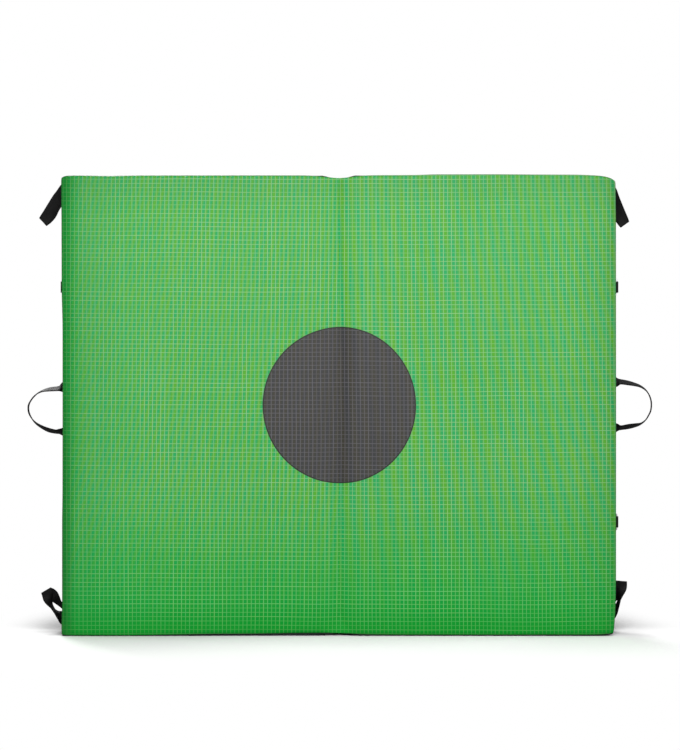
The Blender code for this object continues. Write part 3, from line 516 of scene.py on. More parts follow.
def ribbon(name, rows, step, steps=1, material=WEBBING, **rest):
    """A webbing strip. Each row has its centre, the vector across its width, and its thickness."""
    rows = even(curve_rows(rows, steps), step)
    centres, across, thick = rows[:, :3], rows[:, 3:6] / 2, rows[:, 6:]
    flats = np.cross(np.gradient(centres, axis=0), across)
    flats *= thick / 2 / norm(flats, axis=1)[:, None]
    rings = centres[:, None] + across[:, None] * SECTION[:, :1] + flats[:, None] * SECTION[:, 1:]
    width = norm(across, axis=1).mean()
    mesh = lofted(name, rings, distances(centres), SECTION[:, 0] * width)
    return piece(mesh, material, "black_webbing", **rest)


def band(name, points, height, **rest):
    """A strip on edge along points of the XY plane, at one height."""
    return ribbon(name, [(x, y, height, 0, 0, WEB, WEB_THICK) for x, y in points], **rest)


def arc(centre, radius, start, end, steps=10):
    angles = np.radians(np.linspace(start, end, steps + 1))
    return [(centre[0] + radius * math.cos(a), centre[1] + radius * math.sin(a)) for a in angles]


STITCH_GAP = 0.0011
# Place along a stitch, and its radius and lift there in shares of the thread's radius
STITCH_SHARES = ((0, 0.25, -0.9), (0.18, 0.9, 0.1), (0.5, 1, 0.35), (0.82, 0.9, 0.1), (1, 0.25, -0.9))
STITCH_FLATNESS = 1.25
TO_BACK = (0, 1, 0)


def stitches(name, lines, body, length=0.003, radius=0.00034):
    """Rows of sewn stitches. Each line is (points, normal), and the stitches lie on it."""
    verts, faces = [], []
    ring = arc((0, 0), 1, 0, 360, 5)[:-1]
    for points, normal in lines:
        points, up = np.array(points, dtype=float), np.array(normal)
        along = distances(points)
        count = max(1, int(along[-1] / (length + STITCH_GAP)))
        pitch, share = along[-1] / count, length / (length + STITCH_GAP)
        starts = pitch * (np.arange(count) + (1 - share) / 2)
        ends = [np.stack([np.interp(at, along, column) for column in points.T], 1)
                for at in (starts, starts + pitch * share)]
        for a, b in zip(*ends):
            side = np.cross((b - a) / norm(b - a), up)
            faces += tube(len(STITCH_SHARES), len(ring), len(verts))
            for t, r, lift in STITCH_SHARES:
                centre = a + (b - a) * t + up * radius * lift
                verts += [centre + radius * r * (side * (cx * STITCH_FLATNESS) + up * cy) for cx, cy in ring]
    piece(mesh_of(name, verts, faces), STITCH, "black_webbing", body, smooth=80)


def box_stitch(x, y, z, width, height, cross=True):
    """A sewn box on the back with a cross in it, as lines for stitches()."""
    corner = [(x + a * width / 2, y, z + b * height / 2) for a, b in ((-1, -1), (1, -1), (1, 1), (-1, 1))]
    ends = [(0, 1), (1, 2), (2, 3), (3, 0)] + ([(0, 2), (1, 3)] if cross else [])
    return [([corner[i], corner[k]], TO_BACK) for i, k in ends]


# The landing fabric: one continuous sheet over both halves

# Its measured outline: (height, place) on the sides, (place, height) along the top and bottom. Then the crease's
# drift to the right at each height.
LEFT_EDGE = ((0, -0.6022), (0.02, -0.6027), (0.06, -0.6012), (0.25, -0.6012), (0.31, -0.6004), (0.5, -0.6002),
             (0.68, -0.6003), (0.75, -0.6022), (0.9, -0.6026), (0.965, -0.603), (1, -0.6035))
RIGHT_EDGE = ((0, 0.5972), (0.015, 0.5986), (0.03, 0.5998), (0.06, 0.6014), (0.12, 0.6026), (0.5, 0.6027),
              (0.9, 0.6024), (1, 0.6014))
TOP_EDGE = ((-0.6, 1), (-0.59, 1.0005), (-0.55, 1.0004), (-0.5, 0.9992), (-0.44, 1.0006), (-0.075, 1.0008),
            (-0.045, 0.9994), (-0.02, 0.9964), (0, 0.9945), (0.02, 0.9962), (0.04, 0.9996), (0.07, 1.001),
            (0.17, 1.0014), (0.2, 1.0028), (0.35, 1.003), (0.42, 1.0025), (0.52, 1.0022), (0.562, 1.0005),
            (0.585, 0.9976), (0.6, 0.9915))
BOTTOM_EDGE = ((-0.6, 0.001), (-0.45, 0.0011), (-0.39, 0.0024), (-0.29, 0.0042), (-0.18, 0.0051), (-0.12, 0.006),
               (-0.03, 0.0064), (0, 0.0064), (0.03, 0.0046), (0.08, 0.003), (0.14, 0.0022), (0.35, 0.0022),
               (0.52, 0.0024), (0.575, 0.003), (0.6, 0.0055))
CREASE = ((0, 0.003), (0.12, 0.0024), (0.3, 0.006), (0.48, 0.0095), (0.62, 0.009), (0.8, 0.004), (1, 0.0006))

EDGE_REACH = 0.045
# Distances from an edge or a crease at which a sheet has its finer rows
FINE = np.array((0, 0.0008, 0.0018, 0.003, 0.0045, 0.0065, 0.009, 0.012, 0.016, 0.021, 0.027, 0.034))


def read(line, at):
    """A smooth reading of a measured line."""
    xs, ys = np.array(line).T
    wide = np.linspace(xs[0], xs[-1], 241)
    values = np.interp(wide, xs, ys)
    pad = np.concatenate((np.full(4, values[0]), values, np.full(4, values[-1])))
    kernel = np.array([1, 3, 6, 9, 10, 9, 6, 3, 1])
    return np.interp(at, wide, np.convolve(pad, kernel / kernel.sum(), "valid"))


def spread(low, high, coarse, fine_high=True):
    """Places from low to high, a coarse step apart and finer towards the ends."""
    left, right = low + FINE, high - FINE[::-1] if fine_high else np.array([high])
    count = max(2, int(round((right[0] - left[-1]) / coarse)))
    return np.concatenate((left, np.linspace(left[-1], right[0], count + 1)[1:-1], right))


def roll(away, width):
    """From 0 at an edge to 1 at its width away, round like a rolled edge."""
    return (1 - (1 - np.clip(away / width, 0, 1)) ** 2.2) ** (1 / 2.2)


def fading(away, reach):
    """From 1 at an edge to 0 at its reach away."""
    return np.clip(1 - away / reach, 0, 1)


def soft_waves(x, z, seed, size):
    """A gentle unevenness from a few long waves, the same each run."""
    rng = np.random.default_rng(seed)
    total = np.zeros_like(x)
    count = 7
    for _ in range(count):
        angle = rng.uniform(0, math.pi)
        wave = rng.uniform(*size)
        start = rng.uniform(0, 2 * math.pi)
        total += np.sin((x * math.cos(angle) + z * math.sin(angle)) * 2 * math.pi / wave + start)
    return total / math.sqrt(count)


def on_outline(x, z):
    """Places of the plain rectangle, moved to the landing fabric's measured outline and rounded corners."""
    def near(away):
        return np.exp(-(away / EDGE_REACH) ** 2)

    u, w = x / HALF_WIDTH, 2 * z / HEIGHT - 1
    pull = np.where(w > 0, 0.0035, 0.0014) * np.abs(u) ** 90 * np.abs(w) ** 150
    left, right = read(LEFT_EDGE, z) + HALF_WIDTH, read(RIGHT_EDGE, z) - HALF_WIDTH
    low, high = read(BOTTOM_EDGE, x), read(TOP_EDGE, x) - HEIGHT
    return (x + left * near(x + HALF_WIDTH) + right * near(HALF_WIDTH - x) - np.sign(u) * pull,
            z + low * near(z) + high * near(HEIGHT - z) - np.sign(w) * pull)


def landing_points():
    left = spread(-HALF_WIDTH, -FINE[-1], 0.0085, False)[:-1]
    columns = np.concatenate((left, -FINE[:0:-1], FINE, -left[::-1]))
    x0, z0 = np.meshgrid(columns, spread(0, HEIGHT, 0.0085))
    x, z = on_outline(x0, z0)
    x = x + read(CREASE, z0) * np.exp(-(x0 / 0.03) ** 2)
    # Depth: rolled edges, the crease and a gentle unevenness
    from_left, from_right, from_top, out = x0 + HALF_WIDTH, HALF_WIDTH - x0, HEIGHT - z0, np.abs(x0)
    full = roll(from_left, 0.01) * roll(from_right, 0.008) * roll(from_top, 0.008) * roll(z0, 0.008)
    crease = fading(out, 0.046)
    y = FRONT + 0.0006 + 0.0056 * crease ** 2.2 + 0.0006 * np.exp(-out / 0.0022)
    for away, turned, reach, power in ((z0, 0.007, 0.085, 2), (from_left, 0.007, 0.036, 2.4),
                                       (from_right, 0.0016, 0.018, 2), (from_top, 0.0005, 0.01, 2)):
        y = y + turned * fading(away, reach) ** power
    y = np.minimum(y, FACE_SEAM - 0.0008)
    y = y + (FACE_SEAM - y) * (1 - full)
    hump = (1 - (np.abs(out - 0.3) / 0.3) ** 2.4) * (1 - np.abs(2 * z0 / HEIGHT - 1) ** 2.4)
    calm = np.minimum(full, 1 - crease)
    y = y - 0.0016 * np.clip(hump, 0, 1) * calm - 0.00045 * soft_waves(x, z, 4, (0.1, 0.34)) * calm
    return x, y, z


def landing_fabric():
    x, y, z = landing_points()
    middle = x.shape[1] // 2
    u = np.pad(np.cumsum(np.hypot(np.diff(x, axis=1), np.diff(y, axis=1)), axis=1), ((0, 0), (1, 0)))
    u = u - u[:, middle:middle + 1] + x[:, middle:middle + 1]
    u = np.where(u > 0, u * GRID_ACROSS / GRID_RIGHT, u)
    v = np.pad(np.cumsum(np.hypot(np.diff(z, axis=0), np.diff(y, axis=0)), axis=0), ((1, 0), (0, 0))) + z[:1]
    mesh = grid_mesh("landing_fabric", np.stack((x, y, z), -1), np.stack((u, v), -1))
    obj = piece(mesh, RIPSTOP, "green_ripstop", replaces=("left_landing_panel", "right_landing_panel"), smooth=180)
    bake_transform(obj)


# The side walls and back panels

# Each side of a half: the way out of it, and its share of the lip at the landing seam
SIDES = {"floor": (0, -1, 1.0), "outer": (1, 0, 0.25), "top": (0, 1, 0.35), "crease": (-1, 0, 0.3)}
# Depths behind the landing seam at which the side wall has its rings, and how far its lips stand out there
WALL_DEPTHS = np.array((-0.0012, -0.0004, 0.0004, 0.0012, 0.0028, 0.006, 0.01, 0.016, 0.024, 0.034, 0.045, 0.056,
                        0.066, 0.074, 0.08, 0.0845, 0.0875, 0.089, 0.09))
WALL_LIPS = np.array((-0.0006, 0.0008, 0.0013, 0.0009, 0.0002, *[0] * 9, 0.0002, 0.0004, 0.0007, 0.001, 0.0004))


def outline(side):
    """Stations round a half's edge, in order: their places and which side each is on."""
    columns, rows = spread(FOLD_GAP, HALF_WIDTH, 0.01), spread(0, HEIGHT, 0.01)
    stations = [(c, 0, "floor") for c in columns[:-1]] + [(HALF_WIDTH, r, "outer") for r in rows[:-1]]
    stations += [(c, HEIGHT, "top") for c in columns[:0:-1]] + [(FOLD_GAP, r, "crease") for r in rows[:0:-1]]
    x, z, which = zip(*stations)
    return side * np.array(x), np.array(z), np.array(which)


def side_wall(word, side):
    """The black side wall of one half: a lip at the landing seam, drawn in between its seams."""
    x, z, which = outline(side)
    on_floor, on_top, at_crease = which == "floor", which == "top", which == "crease"
    out_x, out_z, lip_share = np.array([SIDES[name] for name in which]).T
    ways = np.stack((side * out_x, out_z), 1)
    for _ in range(6):
        ways = (np.roll(ways, 1, 0) + 2 * ways + np.roll(ways, -1, 0)) / 4
    depth, lip = WALL_DEPTHS[:, None], WALL_LIPS[:, None] * lip_share
    t = np.clip(depth / (SEAM_Y - FACE_SEAM), 0, 1)
    between = 4 * t * (1 - t)
    # From the landing fabric's outline to that of the back
    front_x, front_z = on_outline(x, z)
    pull = 0.005 * np.abs(x / HALF_WIDTH) ** 60 * np.abs(2 * z - 1) ** 60
    reached = np.minimum(1, np.maximum(0, depth) / (0.004 + 2.2 * np.maximum(0, front_z)))
    share = np.where(on_floor, reached, t ** 0.7)
    px = front_x + (x - np.sign(x) * pull - front_x) * share
    pz = front_z + (z - np.sign(z - 0.5) * pull - front_z) * share
    # Drawn in and rippled along the outer and upper side, full at the crease, with two bumps beside it
    along = distances(np.stack((x, z), 1))
    a, b, c = np.random.default_rng(11 if side > 0 else 12).uniform(0, 6.28, 3)
    ripple = np.sin(along * 2 * math.pi / 0.093 + a) + np.sin(along * 2 * math.pi / 0.151 + b)
    ripple = ripple + 0.6 * np.sin(along * 2 * math.pi / 0.047 + c + 4 * t)
    out = lip + np.where(on_floor | at_crease, 0, between * (0.00045 * ripple - 0.0034))
    out = out + at_crease * 0.0013 * np.minimum(1, t / 0.2) * np.minimum(1, (1 - t) / 0.08)
    bump = np.exp(-((np.abs(x) - 0.035) / 0.01) ** 2) * np.exp(-(depth / 0.012) ** 2)
    out = out + (on_top & (np.abs(x) < 0.075)) * 0.0018 * bump
    out = np.where(on_floor, np.minimum(out, pz - 0.0004), out)
    deep = depth - on_floor * 0.0034 * np.exp(-(np.maximum(0, depth) / 0.006) ** 2)
    deep = deep + (0.0052 + 0.0065 * fading(z, 0.09) ** 2) * fading(np.abs(x), 0.04) ** 1.5 * (1 - t)
    rings = np.stack((px + ways[:, 0] * out, FACE_SEAM + deep, pz + ways[:, 1] * out), -1)
    closed = np.concatenate((rings, rings[:, :1]), axis=1)
    uvs = np.stack(np.meshgrid([*along, along[-1] + 0.001], WALL_DEPTHS), -1)
    mesh = grid_mesh(word + "_side_wall", closed, uvs, flip=side < 0)
    obj = piece(mesh, NYLON_SIDE, "black_nylon", word + "_half", (word + "_boxing",), smooth=60)


def back_cover(word, side):
    """The heavy black back panel of one half, crowned a little over its foam."""
    x0, z0 = np.meshgrid(spread(FOLD_GAP, HALF_WIDTH, 0.012), spread(0, HEIGHT, 0.012))
    u = 2 * (x0 - FOLD_GAP) / (HALF_WIDTH - FOLD_GAP) - 1
    w = 2 * z0 - 1
    pull = 0.005 * np.abs(u) ** 60 * np.abs(w) ** 60
    x, z = side * (x0 - np.sign(u) * pull), z0 - np.sign(w) * pull
    full = roll(np.minimum.reduce([x0 - FOLD_GAP, HALF_WIDTH - x0, z0, HEIGHT - z0]), 0.005)
    y = SEAM_Y + (BACK - SEAM_Y) * full
    y = y - 0.00012 * soft_waves(x, z, 21 if side > 0 else 22, (0.09, 0.3)) * full
    points = np.stack((x, np.minimum(y, BACK + 0.0001), z), -1)
    mesh = grid_mesh(word + "_back_cover", points, np.stack((side * x, z), -1), flip=side > 0)
    obj = piece(mesh, NYLON, "black_nylon", word + "_half", (word + "_back_panel",), smooth=60)
    inset, y = 0.0075, BACK + 0.00005
    near, far = side * (FOLD_GAP + inset), side * (HALF_WIDTH - inset)
    low, high = inset, HEIGHT - inset
    line = [(near, y, low), (far, y, low), (far, y, high), (near, y, high), (near, y, low)]
    stitches(word + "_back_stitching", [(line, TO_BACK)], word + "_half")


def foams():
    """The foam blocks inside the halves: the CAD shapes with eased edges."""
    for word, _ in HALVES:
        for layer, material, slot in (("top", CLOSED_FOAM, "closed_foam"), ("core", OPEN_FOAM, "open_foam"),
                                      ("base", CLOSED_FOAM, "closed_foam")):
            node = f"{word}_foam_{layer}"
            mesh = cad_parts[node].data.copy()
            mesh.name = node + "_block"
            mesh.materials.clear()
            obj = piece(mesh, material, slot, word + "_half", (node,), smooth=30)
            eased(obj, 0.0012, 2, 30)


# Webbing in the side seams, measured in the photograph: where its outer and inner edge show, in pixels

# Each handle from its upper root round to its lower one
LEFT_HANDLE = ((68.3, 381, 68.3, 392.3), (62.8, 381.8, 62.8, 392), (60.4, 383.9, 60.6, 391.2),
               (58.4, 386.1, 58.2, 391), (49.8, 387.3, 49.8, 391.3), (43.4, 389.4, 44.1, 391.7),
               (38.4, 392, 39.1, 393.4), (34.2, 395.5, 34.9, 396.5), (30.6, 399.8, 31.8, 400.6),
               (28.2, 404.7, 29.5, 404.9), (27.8, 409.7, 29.2, 409.3), (29, 414.6, 30.2, 413.8),
               (32, 420.3, 33.3, 418.7), (35.6, 424.6, 37.2, 422.3), (41.3, 428.8, 42.6, 425.2),
               (48.3, 432.4, 49.3, 427.7), (56.1, 433.8, 56.4, 429.5), (58.6, 434, 58.6, 429),
               (62.8, 435.9, 62.8, 427.8), (68.3, 436.8, 68.3, 425.5))
RIGHT_HANDLE = ((609.3, 376.2, 609.3, 387.5), (616, 377.1, 616, 387), (618, 378.2, 618, 385.6),
                (620.2, 379, 620.2, 384.4), (628.3, 380.6, 627.5, 385.2), (635.4, 382.8, 634.6, 386.2),
                (641.1, 385.3, 640, 387.6), (646.1, 389.1, 644.8, 390.7), (649.4, 393.8, 648, 394.8),
                (651.5, 399.4, 649.9, 399.9), (652.1, 404.7, 650.4, 404.7), (651.5, 410.4, 649.8, 410.2),
                (649.4, 415.4, 647.9, 414.6), (646.1, 420.7, 644.9, 419.2), (641.1, 425, 640.3, 422.5),
                (635.4, 427.4, 635, 423.2), (628.3, 429.2, 628.2, 423.9), (620.6, 430.2, 620.6, 425.3),
                (618.3, 431.1, 618.3, 424.4), (616, 432.4, 616, 423.2), (609.3, 434, 609.3, 422.7))

# Each doubled corner loop: its front leg and its back leg, from the seam towards the fold, and the fold
CORNER_LOOPS = {
    "top_left_loop": (
        ((68.3, 181.3, 68.3, 192.6), (62.5, 184, 67, 194), (57.6, 190.5, 66, 197.3), (53.3, 196.1, 62, 203),
         (48.3, 203.9, 57.4, 210.4), (43.4, 211.7, 52.3, 218.4)),
        ((68.3, 189, 68.3, 200.3), (60.5, 192.5, 65.5, 202.5), (53.8, 199.8, 62.1, 206.4), (50.2, 206.5, 59.2, 211),
         (46.2, 211.5, 55.6, 217.6), (42.4, 215, 51.6, 222.8)),
        (39.4, 217.7, 47.2, 225.9)),
    "top_right_loop": (
        ((609.3, 181.5, 609.3, 192.8), (612.8, 184.3, 609.6, 194.6), (616.2, 190, 610, 198.5),
         (618.6, 196.9, 610.8, 203.5), (622.2, 205.4, 612.9, 210.8), (626.3, 214.6, 616.8, 220.4)),
        ((609.3, 193, 609.3, 204.3), (613.5, 196.5, 609.8, 207), (618, 203, 611.2, 212),
         (622.3, 210.5, 614.2, 218.5), (626, 216.2, 617.2, 224.3)),
        (629.2, 221.2, 620.1, 227.6)),
    "bottom_left_loop": (
        ((68.3, 627, 68.3, 615.7), (60.9, 625, 65.5, 612.5), (58.9, 619.4, 62.4, 611.2), (56.3, 614.2, 58.6, 611.2),
         (53.8, 610.2, 55.3, 609.7), (51.6, 607.3, 53.2, 606.3), (48.5, 604.7, 52.2, 602.6),
         (45.1, 601.6, 52.9, 597.2), (42.3, 597.8, 53, 592)),
        ((68.3, 616.5, 68.3, 605.2), (62.3, 610.1, 62.6, 602), (55.6, 604.9, 60, 596.6), (50.6, 600.9, 57.5, 592.1),
         (46, 597.4, 55.2, 589.3), (42.8, 594.8, 53.6, 587.9)),
        (40.8, 593.4, 51.7, 587)),
    "bottom_right_loop": (
        ((609.3, 624.8, 609.3, 613.5), (615.6, 615.5, 612.5, 607), (617.7, 607.9, 615.3, 604.9),
         (618.9, 603, 617.3, 601.7), (620, 598.8, 617.6, 597.4), (622.6, 594.6, 616.2, 591.5),
         (626.6, 587.6, 615.6, 585.5)),
        ((609.3, 611.8, 609.3, 600.5), (614.7, 604.7, 610.4, 597), (618.9, 598.9, 611.9, 592.5),
         (622.9, 593.6, 613.8, 587.8), (626.6, 587.6, 615.1, 583.4)),
        (626.9, 581.6, 615.6, 580.6)),
}


def on_seam(px, py):
    """The place on the plane of the side seams that a pixel of the photograph shows."""
    return np.array((CAMERA[0] + (px - MIDDLE_PIXEL[0]) * SEAM_PIXEL, SEAM_Y,
                     CAMERA[2] - (py - MIDDLE_PIXEL[1]) * SEAM_PIXEL))


def edge_row(edges, depth, turn, thick=WEB_THICK):
    """One row of a webbing strip whose two edges show at these pixels; the rest of its width lies in Y."""
    outer, inner = on_seam(*edges[:2]), on_seam(*edges[2:])
    seen = norm(outer - inner)
    width = min(seen, WEB)
    width = max(0.0003, width - 0.4 * thick * math.sqrt(1 - (width / WEB) ** 2))
    across = (outer - inner) / seen * width
    across[1] = turn * math.sqrt(max(0, WEB ** 2 - width ** 2))
    centre = (outer + inner) / 2
    centre[1] = SEAM_Y + depth
    return (*centre, *across, thick)


def sewn_in(name, rows, step):
    """Webbing whose root stays in its seam."""
    rows = even(curve_rows(rows, 6), step)
    rows[:, 3:6] *= WEB / norm(rows[:, 3:6], axis=1)[:, None]
    obj = ribbon(name + "_webbing", rows, step=step, replaces=(name,))
    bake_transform(obj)


def seam_handles():
    for name, side, edges in (("left_handle", -1, LEFT_HANDLE), ("right_handle", 1, RIGHT_HANDLE)):
        sewn_in(name, [edge_row(row, 0, 1, 0.0026) for row in edges], 0.0025)


def corner_loops():
    for name, (front, back, fold) in CORNER_LOOPS.items():
        legs = []
        for turn, leg in ((-1, front), (1, back)):
            parts = [0.0009 + 0.0034 * math.sin(math.pi * min(1, i / len(leg) * 1.1 + 0.05)) ** 0.8
                     for i in range(len(leg))]
            legs.append([edge_row(row, turn * apart, turn) for row, apart in zip(leg, parts)])
        tip = np.array(edge_row(fold, 0, 1))
        way = tip[:3] - legs[0][-1][:3]
        way /= norm(way)
        rows = legs[0]
        for angle in np.radians((-75, -38, 0, 38, 75)):
            row = tip.copy()
            row[:3] += way * (0.001 * (math.cos(angle) - 1)) + (0, 0.0012 * math.sin(angle), 0)
            rows.append(tuple(row))
        sewn_in(name, rows + legs[1][::-1], 0.0013)


# Closure straps

def eye_radius(bar):
    """The radius at which webbing lies round a bar."""
    return bar / math.sqrt(2) + SEAT_GAP + WEB_THICK / 2


def lapped(bar_x, bar_y, radius, way):
    """The lap and the eye of a strap's end round a bar."""
    eye = [(bar_x + way * x, bar_y + y) for x, y in arc((0, 0), radius, 90, -90)]
    return [(bar_x - way * LAP, bar_y + radius)] + eye


def closures():
    radius = eye_radius(0.003)
    for word, (height, reach) in CLOSURES.items():
        points = [(SEAM_X, SEAM_Y - WEB_THICK), *arc((RING_BAR_X, RING_Y), radius, -115, 115),
                  (SEAM_X + WEB_THICK, SEAM_Y + WEB_THICK)]
        band("closure_tab_webbing_" + word, points, height, body="right_half", step=0.0008, steps=3,
             replaces=("closure_tab_" + word,))
        strap = "closure_strap_" + word
        points = lapped(STRAP_BAR_X, RING_Y, radius, 1) + lapped(HOOK_BAR_X, RING_Y, radius, -1)[::-1]
        band("closure_strap_webbing_" + word, even(points, 0.0009), height, step=0.0012, body=strap,
             replaces=(strap,))
        lines = []
        for x in (STRAP_BAR_X - 0.0155, HOOK_BAR_X + 0.0155):
            lines += box_stitch(x, RING_Y + radius + WEB_THICK / 2, height, 0.011, WEB - 0.006)
        stitches("closure_strap_stitching_" + word, lines, strap)
        bend = (0.007 + WEB_THICK) / 2
        apart = WEB_THICK / 2 + SEAT_GAP
        points = [(-SEAM_X, SEAM_Y - apart), *arc((bend + WEB_THICK / 2 - SEAM_X - reach, SEAM_Y), bend, 270, 90),
                  (-SEAM_X, SEAM_Y + apart)]
        band("catch_loop_webbing_" + word, points, height, body="left_half", step=0.0008, steps=3,
             replaces=("catch_loop_" + word,))


# The carry system on the left half's back

PATCH_THICK = 0.0015
# Inset and height of the rings of a patch's turned hem
HEM = ((0, 0), (0, 0.0007), (0.0006, 0.0012), (0.0016, 0.0015), (0.005, 0.0015), (0.006, 0.0013),
       (0.0075, 0.0013))
# Height, spread, stand-off, width and thickness of a shoulder strap, from its sewn top down
SHOULDER_SHARES = ((1, 0, 0, 0.75, 0.4), (0.93, 0.04, 0.04, 0.82, 0.55), (0.84, 0.2, 0.42, 0.92, 0.9),
                   (0.7, 0.5, 0.8, 1, 1), (0.52, 0.82, 1, 1, 1), (0.34, 1, 1, 0.95, 1), (0.18, 1, 0.92, 0.78, 0.9),
                   (0.06, 1, 0.82, 0.56, 0.6), (0, 1, 0.78, 0.46, 0.45))
SHOULDER_TOP = 0.768
SHOULDER_LENGTH = 0.716 * 0.528
SHOULDER_WIDTH = 0.064
SHOULDER_THICK = 0.014
SHOULDER_STANDOFF = 0.03
SHOULDER_POINTS = 36
ANCHOR_BOTTOM = 0.19
ANCHOR_HEIGHT = 0.05
LOCK_LENGTH = 0.03
HAUL_TOP = 0.93
HAUL_SPAN = 0.13
HAUL_DROP = 0.07


def patch(name, x, bottom, width, height):
    """A sewn patch with a turned hem and its row of stitching."""
    middle = bottom + height / 2
    rings = []
    for inset, lift in HEM:
        radius = max(0.0015, 0.006 - inset)
        for i, (sx, sz) in enumerate(((1, 1), (-1, 1), (-1, -1), (1, -1))):
            corner = (x + sx * (width / 2 - inset - radius), middle + sz * (height / 2 - inset - radius))
            rings += [(a, ON_BACK + lift, b) for a, b in arc(corner, radius, 90 * i, 90 * (i + 1), 6)]
    *walls, first, last = tube(len(HEM), len(rings) // len(HEM))
    faces = [wall[:1] + wall[:0:-1] for wall in walls] + [first[::-1], last[::-1]]
    mesh = mesh_of(name, rings, faces, np.array(rings)[:, [0, 2]])
    piece(mesh, NYLON, "black_nylon", "left_half", (name.replace("panel", "patch"),), smooth=50)
    return box_stitch(x, ON_BACK + PATCH_THICK, middle, width - 0.0066, height - 0.0066, cross=False)


def shoulder_rows(side):
    rise = SHOULDER_STANDOFF - (STRAP_SEAT - BACK)
    rows = []
    for height, apart, stand, wide, thick in SHOULDER_SHARES:
        depth = SHOULDER_THICK * thick
        rows.append((CARRY_X + side * (0.045 + 0.065 * apart), STRAP_SEAT + rise * stand + depth / 2,
                     SHOULDER_TOP - SHOULDER_LENGTH * (1 - height), SHOULDER_WIDTH * wide, depth))
    return rows


def shoulder_strap(word, side):
    """A padded strap: a puffed pad between bound edges, with a row of stitching beside the binding."""
    rows = curve_rows(shoulder_rows(side), 8)
    turn = np.linspace(0, 2 * math.pi, SHOULDER_POINTS + 1)[:-1]
    across, over = (np.sign(wave) * np.abs(wave) ** 0.62 for wave in (np.cos(turn), np.sin(turn)))
    over = over * (0.35 + 0.65 * (1 - np.abs(across) ** 3.2))
    x, y, z, wide, depth = (column[:, None] for column in rows.T)
    rings = np.stack(np.broadcast_arrays(x + wide / 2 * across, y + depth / 2 * over, z), -1)
    mesh = lofted("shoulder_pad_" + word, rings, distances(rows[:, :3]), rows[-1, 3] / 2 * np.cos(turn))
    pad = piece(mesh, NYLON, "black_nylon", "left_half", ("shoulder_strap_" + word,), smooth=60)
    lines = []
    for place, edge in STRAPS:
        tape = [(x + edge * (wide / 2 - 0.001), y, z, 0, max(0.0032, depth * 0.5), 0, 0.003)
                for x, y, z, wide, depth in rows]
        ribbon(f"shoulder_binding_{word}_{place}", tape, step=0.004, material=BINDING, body="left_half")
        lines.append(([(x + edge * (wide / 2 - 0.0068), y + depth / 2 * 0.8, z) for x, y, z, wide, depth in rows],
                      TO_BACK))
    stitches("shoulder_stitching_" + word, lines, "left_half", length=0.0032)
    x, y, z, _, depth = rows[0]
    return box_stitch(x, y + depth / 2 + 0.0002, z - 0.01, 0.036, 0.014)


def lower_webbing(word, side):
    """Webbing from its anchor up round the ladder lock's middle bar, with its tail hanging outside."""
    x, y, z = shoulder_rows(side)[-1][:3]
    z = z - SEAT_GAP - LOCK_LENGTH / 2
    radius = eye_radius(0.004)
    low = ANCHOR_BOTTOM + ANCHOR_HEIGHT / 4
    lie = STRAP_SEAT + WEB_THICK / 2
    places = [(lie, low), (lie, low + 0.012), (lie, low + 0.024), (lie + (y - radius - lie) * 0.42, low + 0.06),
              (y - radius, z - 0.03)]
    places += [(y + b, z + a) for b, a in arc((0, 0), radius, 180, 0)]
    places += [(y + radius, z - 0.03), (y + radius + 0.0006, z - 0.08), (y + radius, z - 0.13)]
    rows = [(x, along, up, WEB - SEAT_GAP, 0, 0, WEB_THICK) for along, up in places]
    ribbon("lower_webbing_strip_" + word, rows, step=0.0016, steps=5, body="left_half",
           replaces=("lower_webbing_" + word,))
    return box_stitch(x, STRAP_SEAT + WEB_THICK + 0.0001, low + 0.012, 0.017, 0.018)


def haul_handle():
    """A U of webbing that hangs from its sewn ends, rounded at its lower corners."""
    mid, bend = (HAUL_SPAN - WEB) / 2, WEB * 0.62
    path = [(-mid, 0), (-mid, -0.012)] + arc((bend - mid, bend + WEB / 2 - HAUL_DROP), bend, 180, 270, 8)
    points = np.array(path + [(-x, z) for x, z in path[::-1]])
    ways = np.gradient(points, axis=0)
    ways *= WEB / norm(ways, axis=1)[:, None]
    rows = [(CARRY_X + x, ON_BACK + 0.0015, HAUL_TOP + z, -wz, 0, wx, 0.0028)
            for (x, z), (wx, wz) in zip(points, ways)]
    ribbon("haul_handle_webbing", rows, step=0.003, steps=3, body="haul_handle", replaces=("haul_handle",))
    lines = []
    for x in (CARRY_X - mid, CARRY_X + mid):
        lines += box_stitch(x, ON_BACK + 0.0029, HAUL_TOP - 0.009, 0.018, 0.013)
    stitches("haul_handle_stitching", lines, "haul_handle")


def belts():
    radius = eye_radius(0.0035)
    lie = BELT_Y - radius
    for word, side in STRAPS:
        root = CARRY_X + side * 0.075
        bar = root + side * 0.13
        points = [(root, lie), (root + side * 0.04, lie), (root + side * 0.08, lie)]
        points += lapped(bar, BELT_Y, radius, side)[::-1]
        band("belt_webbing_" + word, even(points, 0.0009), BELT_HEIGHT, step=0.0012, body="belt_" + word,
             replaces=("belt_" + word,))
        lines = box_stitch(bar - side * 0.0155, BELT_Y + radius + WEB_THICK / 2, BELT_HEIGHT, 0.011, WEB - 0.006)
        lines += box_stitch(root + side * 0.012, lie + WEB_THICK / 2, BELT_HEIGHT, 0.018, WEB - 0.006)
        stitches("belt_stitching_" + word, lines, "belt_" + word)


def carry_system():
    lines = patch("yoke_panel", CARRY_X, 0.715, 0.19, 0.07)
    for word, side in STRAPS:
        lines += shoulder_strap(word, side)
        lines += patch("anchor_panel_" + word, shoulder_rows(side)[-1][0], ANCHOR_BOTTOM, 0.06, ANCHOR_HEIGHT)
        lines += lower_webbing(word, side)
    stitches("carry_stitching", lines, "left_half")
    haul_handle()
    belts()


# Zips, the crease's seam, and the rigid pieces

ZIP_NEAR = 0.06
ZIP_LENGTH = 0.48
ZIP_HEIGHT = 0.055
ZIP_TEETH = 300
TOOTH = 0.0012


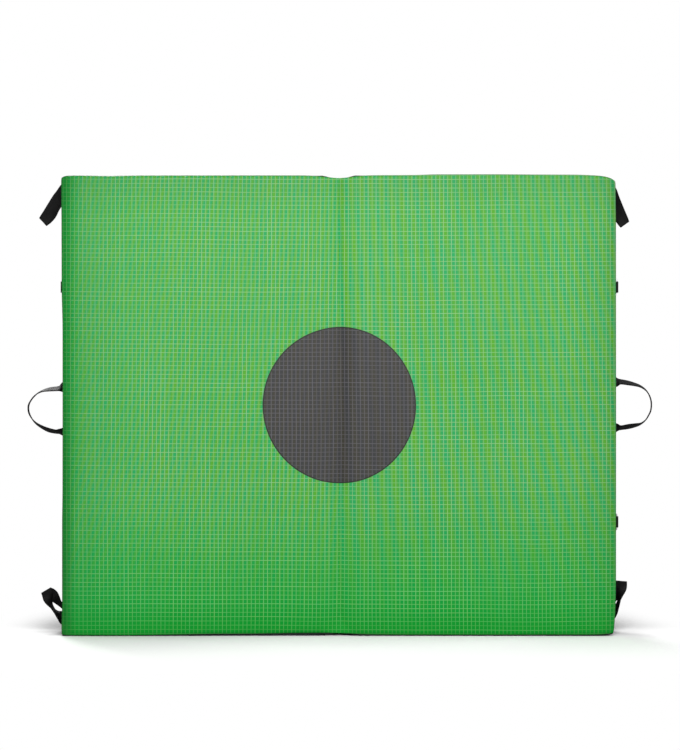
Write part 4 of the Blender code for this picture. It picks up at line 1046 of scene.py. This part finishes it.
def zips(word, side):
    low, high = sorted((side * ZIP_NEAR, side * (ZIP_NEAR + ZIP_LENGTH)))
    y, z = ON_BACK + 0.0008, ZIP_HEIGHT
    rows = [(x, ON_BACK + 0.0004, z, 0, 0, 0.028, 0.0008) for x in (low, high)]
    ribbon(word + "_zip_tape", rows, step=0.02, material=BINDING, body=word + "_half",
           replaces=(word + "_zip",))
    verts, faces = [], []
    for i in range(ZIP_TEETH):
        for sign, place in ((-1, 0.5), (1, 1.0)):
            x = low + (high - low) * (i + place) / ZIP_TEETH
            faces += [(b, b + 1, b + 3, b + 2) for b in range(len(verts), len(verts) + 10, 2)]
            verts += [(x + half, y + b, z + sign * (TOOTH - a)) for a, b in arc((0, 0), TOOTH, 0, 180, 5)
                      for half in (-0.00055, 0.00055)]
    piece(mesh_of(word + "_zip_teeth", verts, faces), STITCH, "black_nylon", word + "_half", smooth=80)
    lines = [([(low + 0.004, y, z + shift), (high - 0.004, y, z + shift)], TO_BACK) for shift in (-0.01, 0.01)]
    stitches(word + "_zip_stitching", lines, word + "_half")


def bound_seam():
    """The bound seam that stands in the crease behind the landing fabric."""
    rows = [(0, FACE_SEAM + 0.007, z, 0, 0.0138, 0, 0.0022) for z in (0.006, 0.994)]
    ribbon("hinge_seam_binding", rows, step=0.01, material=BINDING, body="left_half",
           replaces=("hinge_seam",))
    y = FACE_SEAM + 0.01
    lines = [([(sign * 0.0011, y, 0.01), (sign * 0.0011, y, 0.99)], (sign, 0, 0)) for sign in (-1, 1)]
    stitches("hinge_seam_stitching", lines, "left_half", radius=0.00025)


def rigid_looks():
    """Moulded and metal CAD pieces keep their shape, with eased edges and a better finish."""
    for start, ends, material, width in (("closure_ring_", CLOSURES, METAL, 0.0012),
                                         ("closure_hook_", CLOSURES, METAL, 0.0006),
                                         ("ladder_lock_", ("outer", "inner"), PLASTIC, 0.0007),
                                         ("belt_", ("socket", "plug"), PLASTIC, 0.0004),
                                         ("", ("left_zip_slider", "right_zip_slider"), METAL, 0.0003)):
        for end in ends:
            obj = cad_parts[start + end]
            obj.data.materials.clear()
            obj.data.materials.append(material)
            eased(obj, width, 3, 35)


landing_fabric()
for half in HALVES:
    side_wall(*half)
    back_cover(*half)
foams()
bound_seam()
seam_handles()
corner_loops()
closures()
carry_system()
for half in HALVES:
    zips(*half)
rigid_looks()
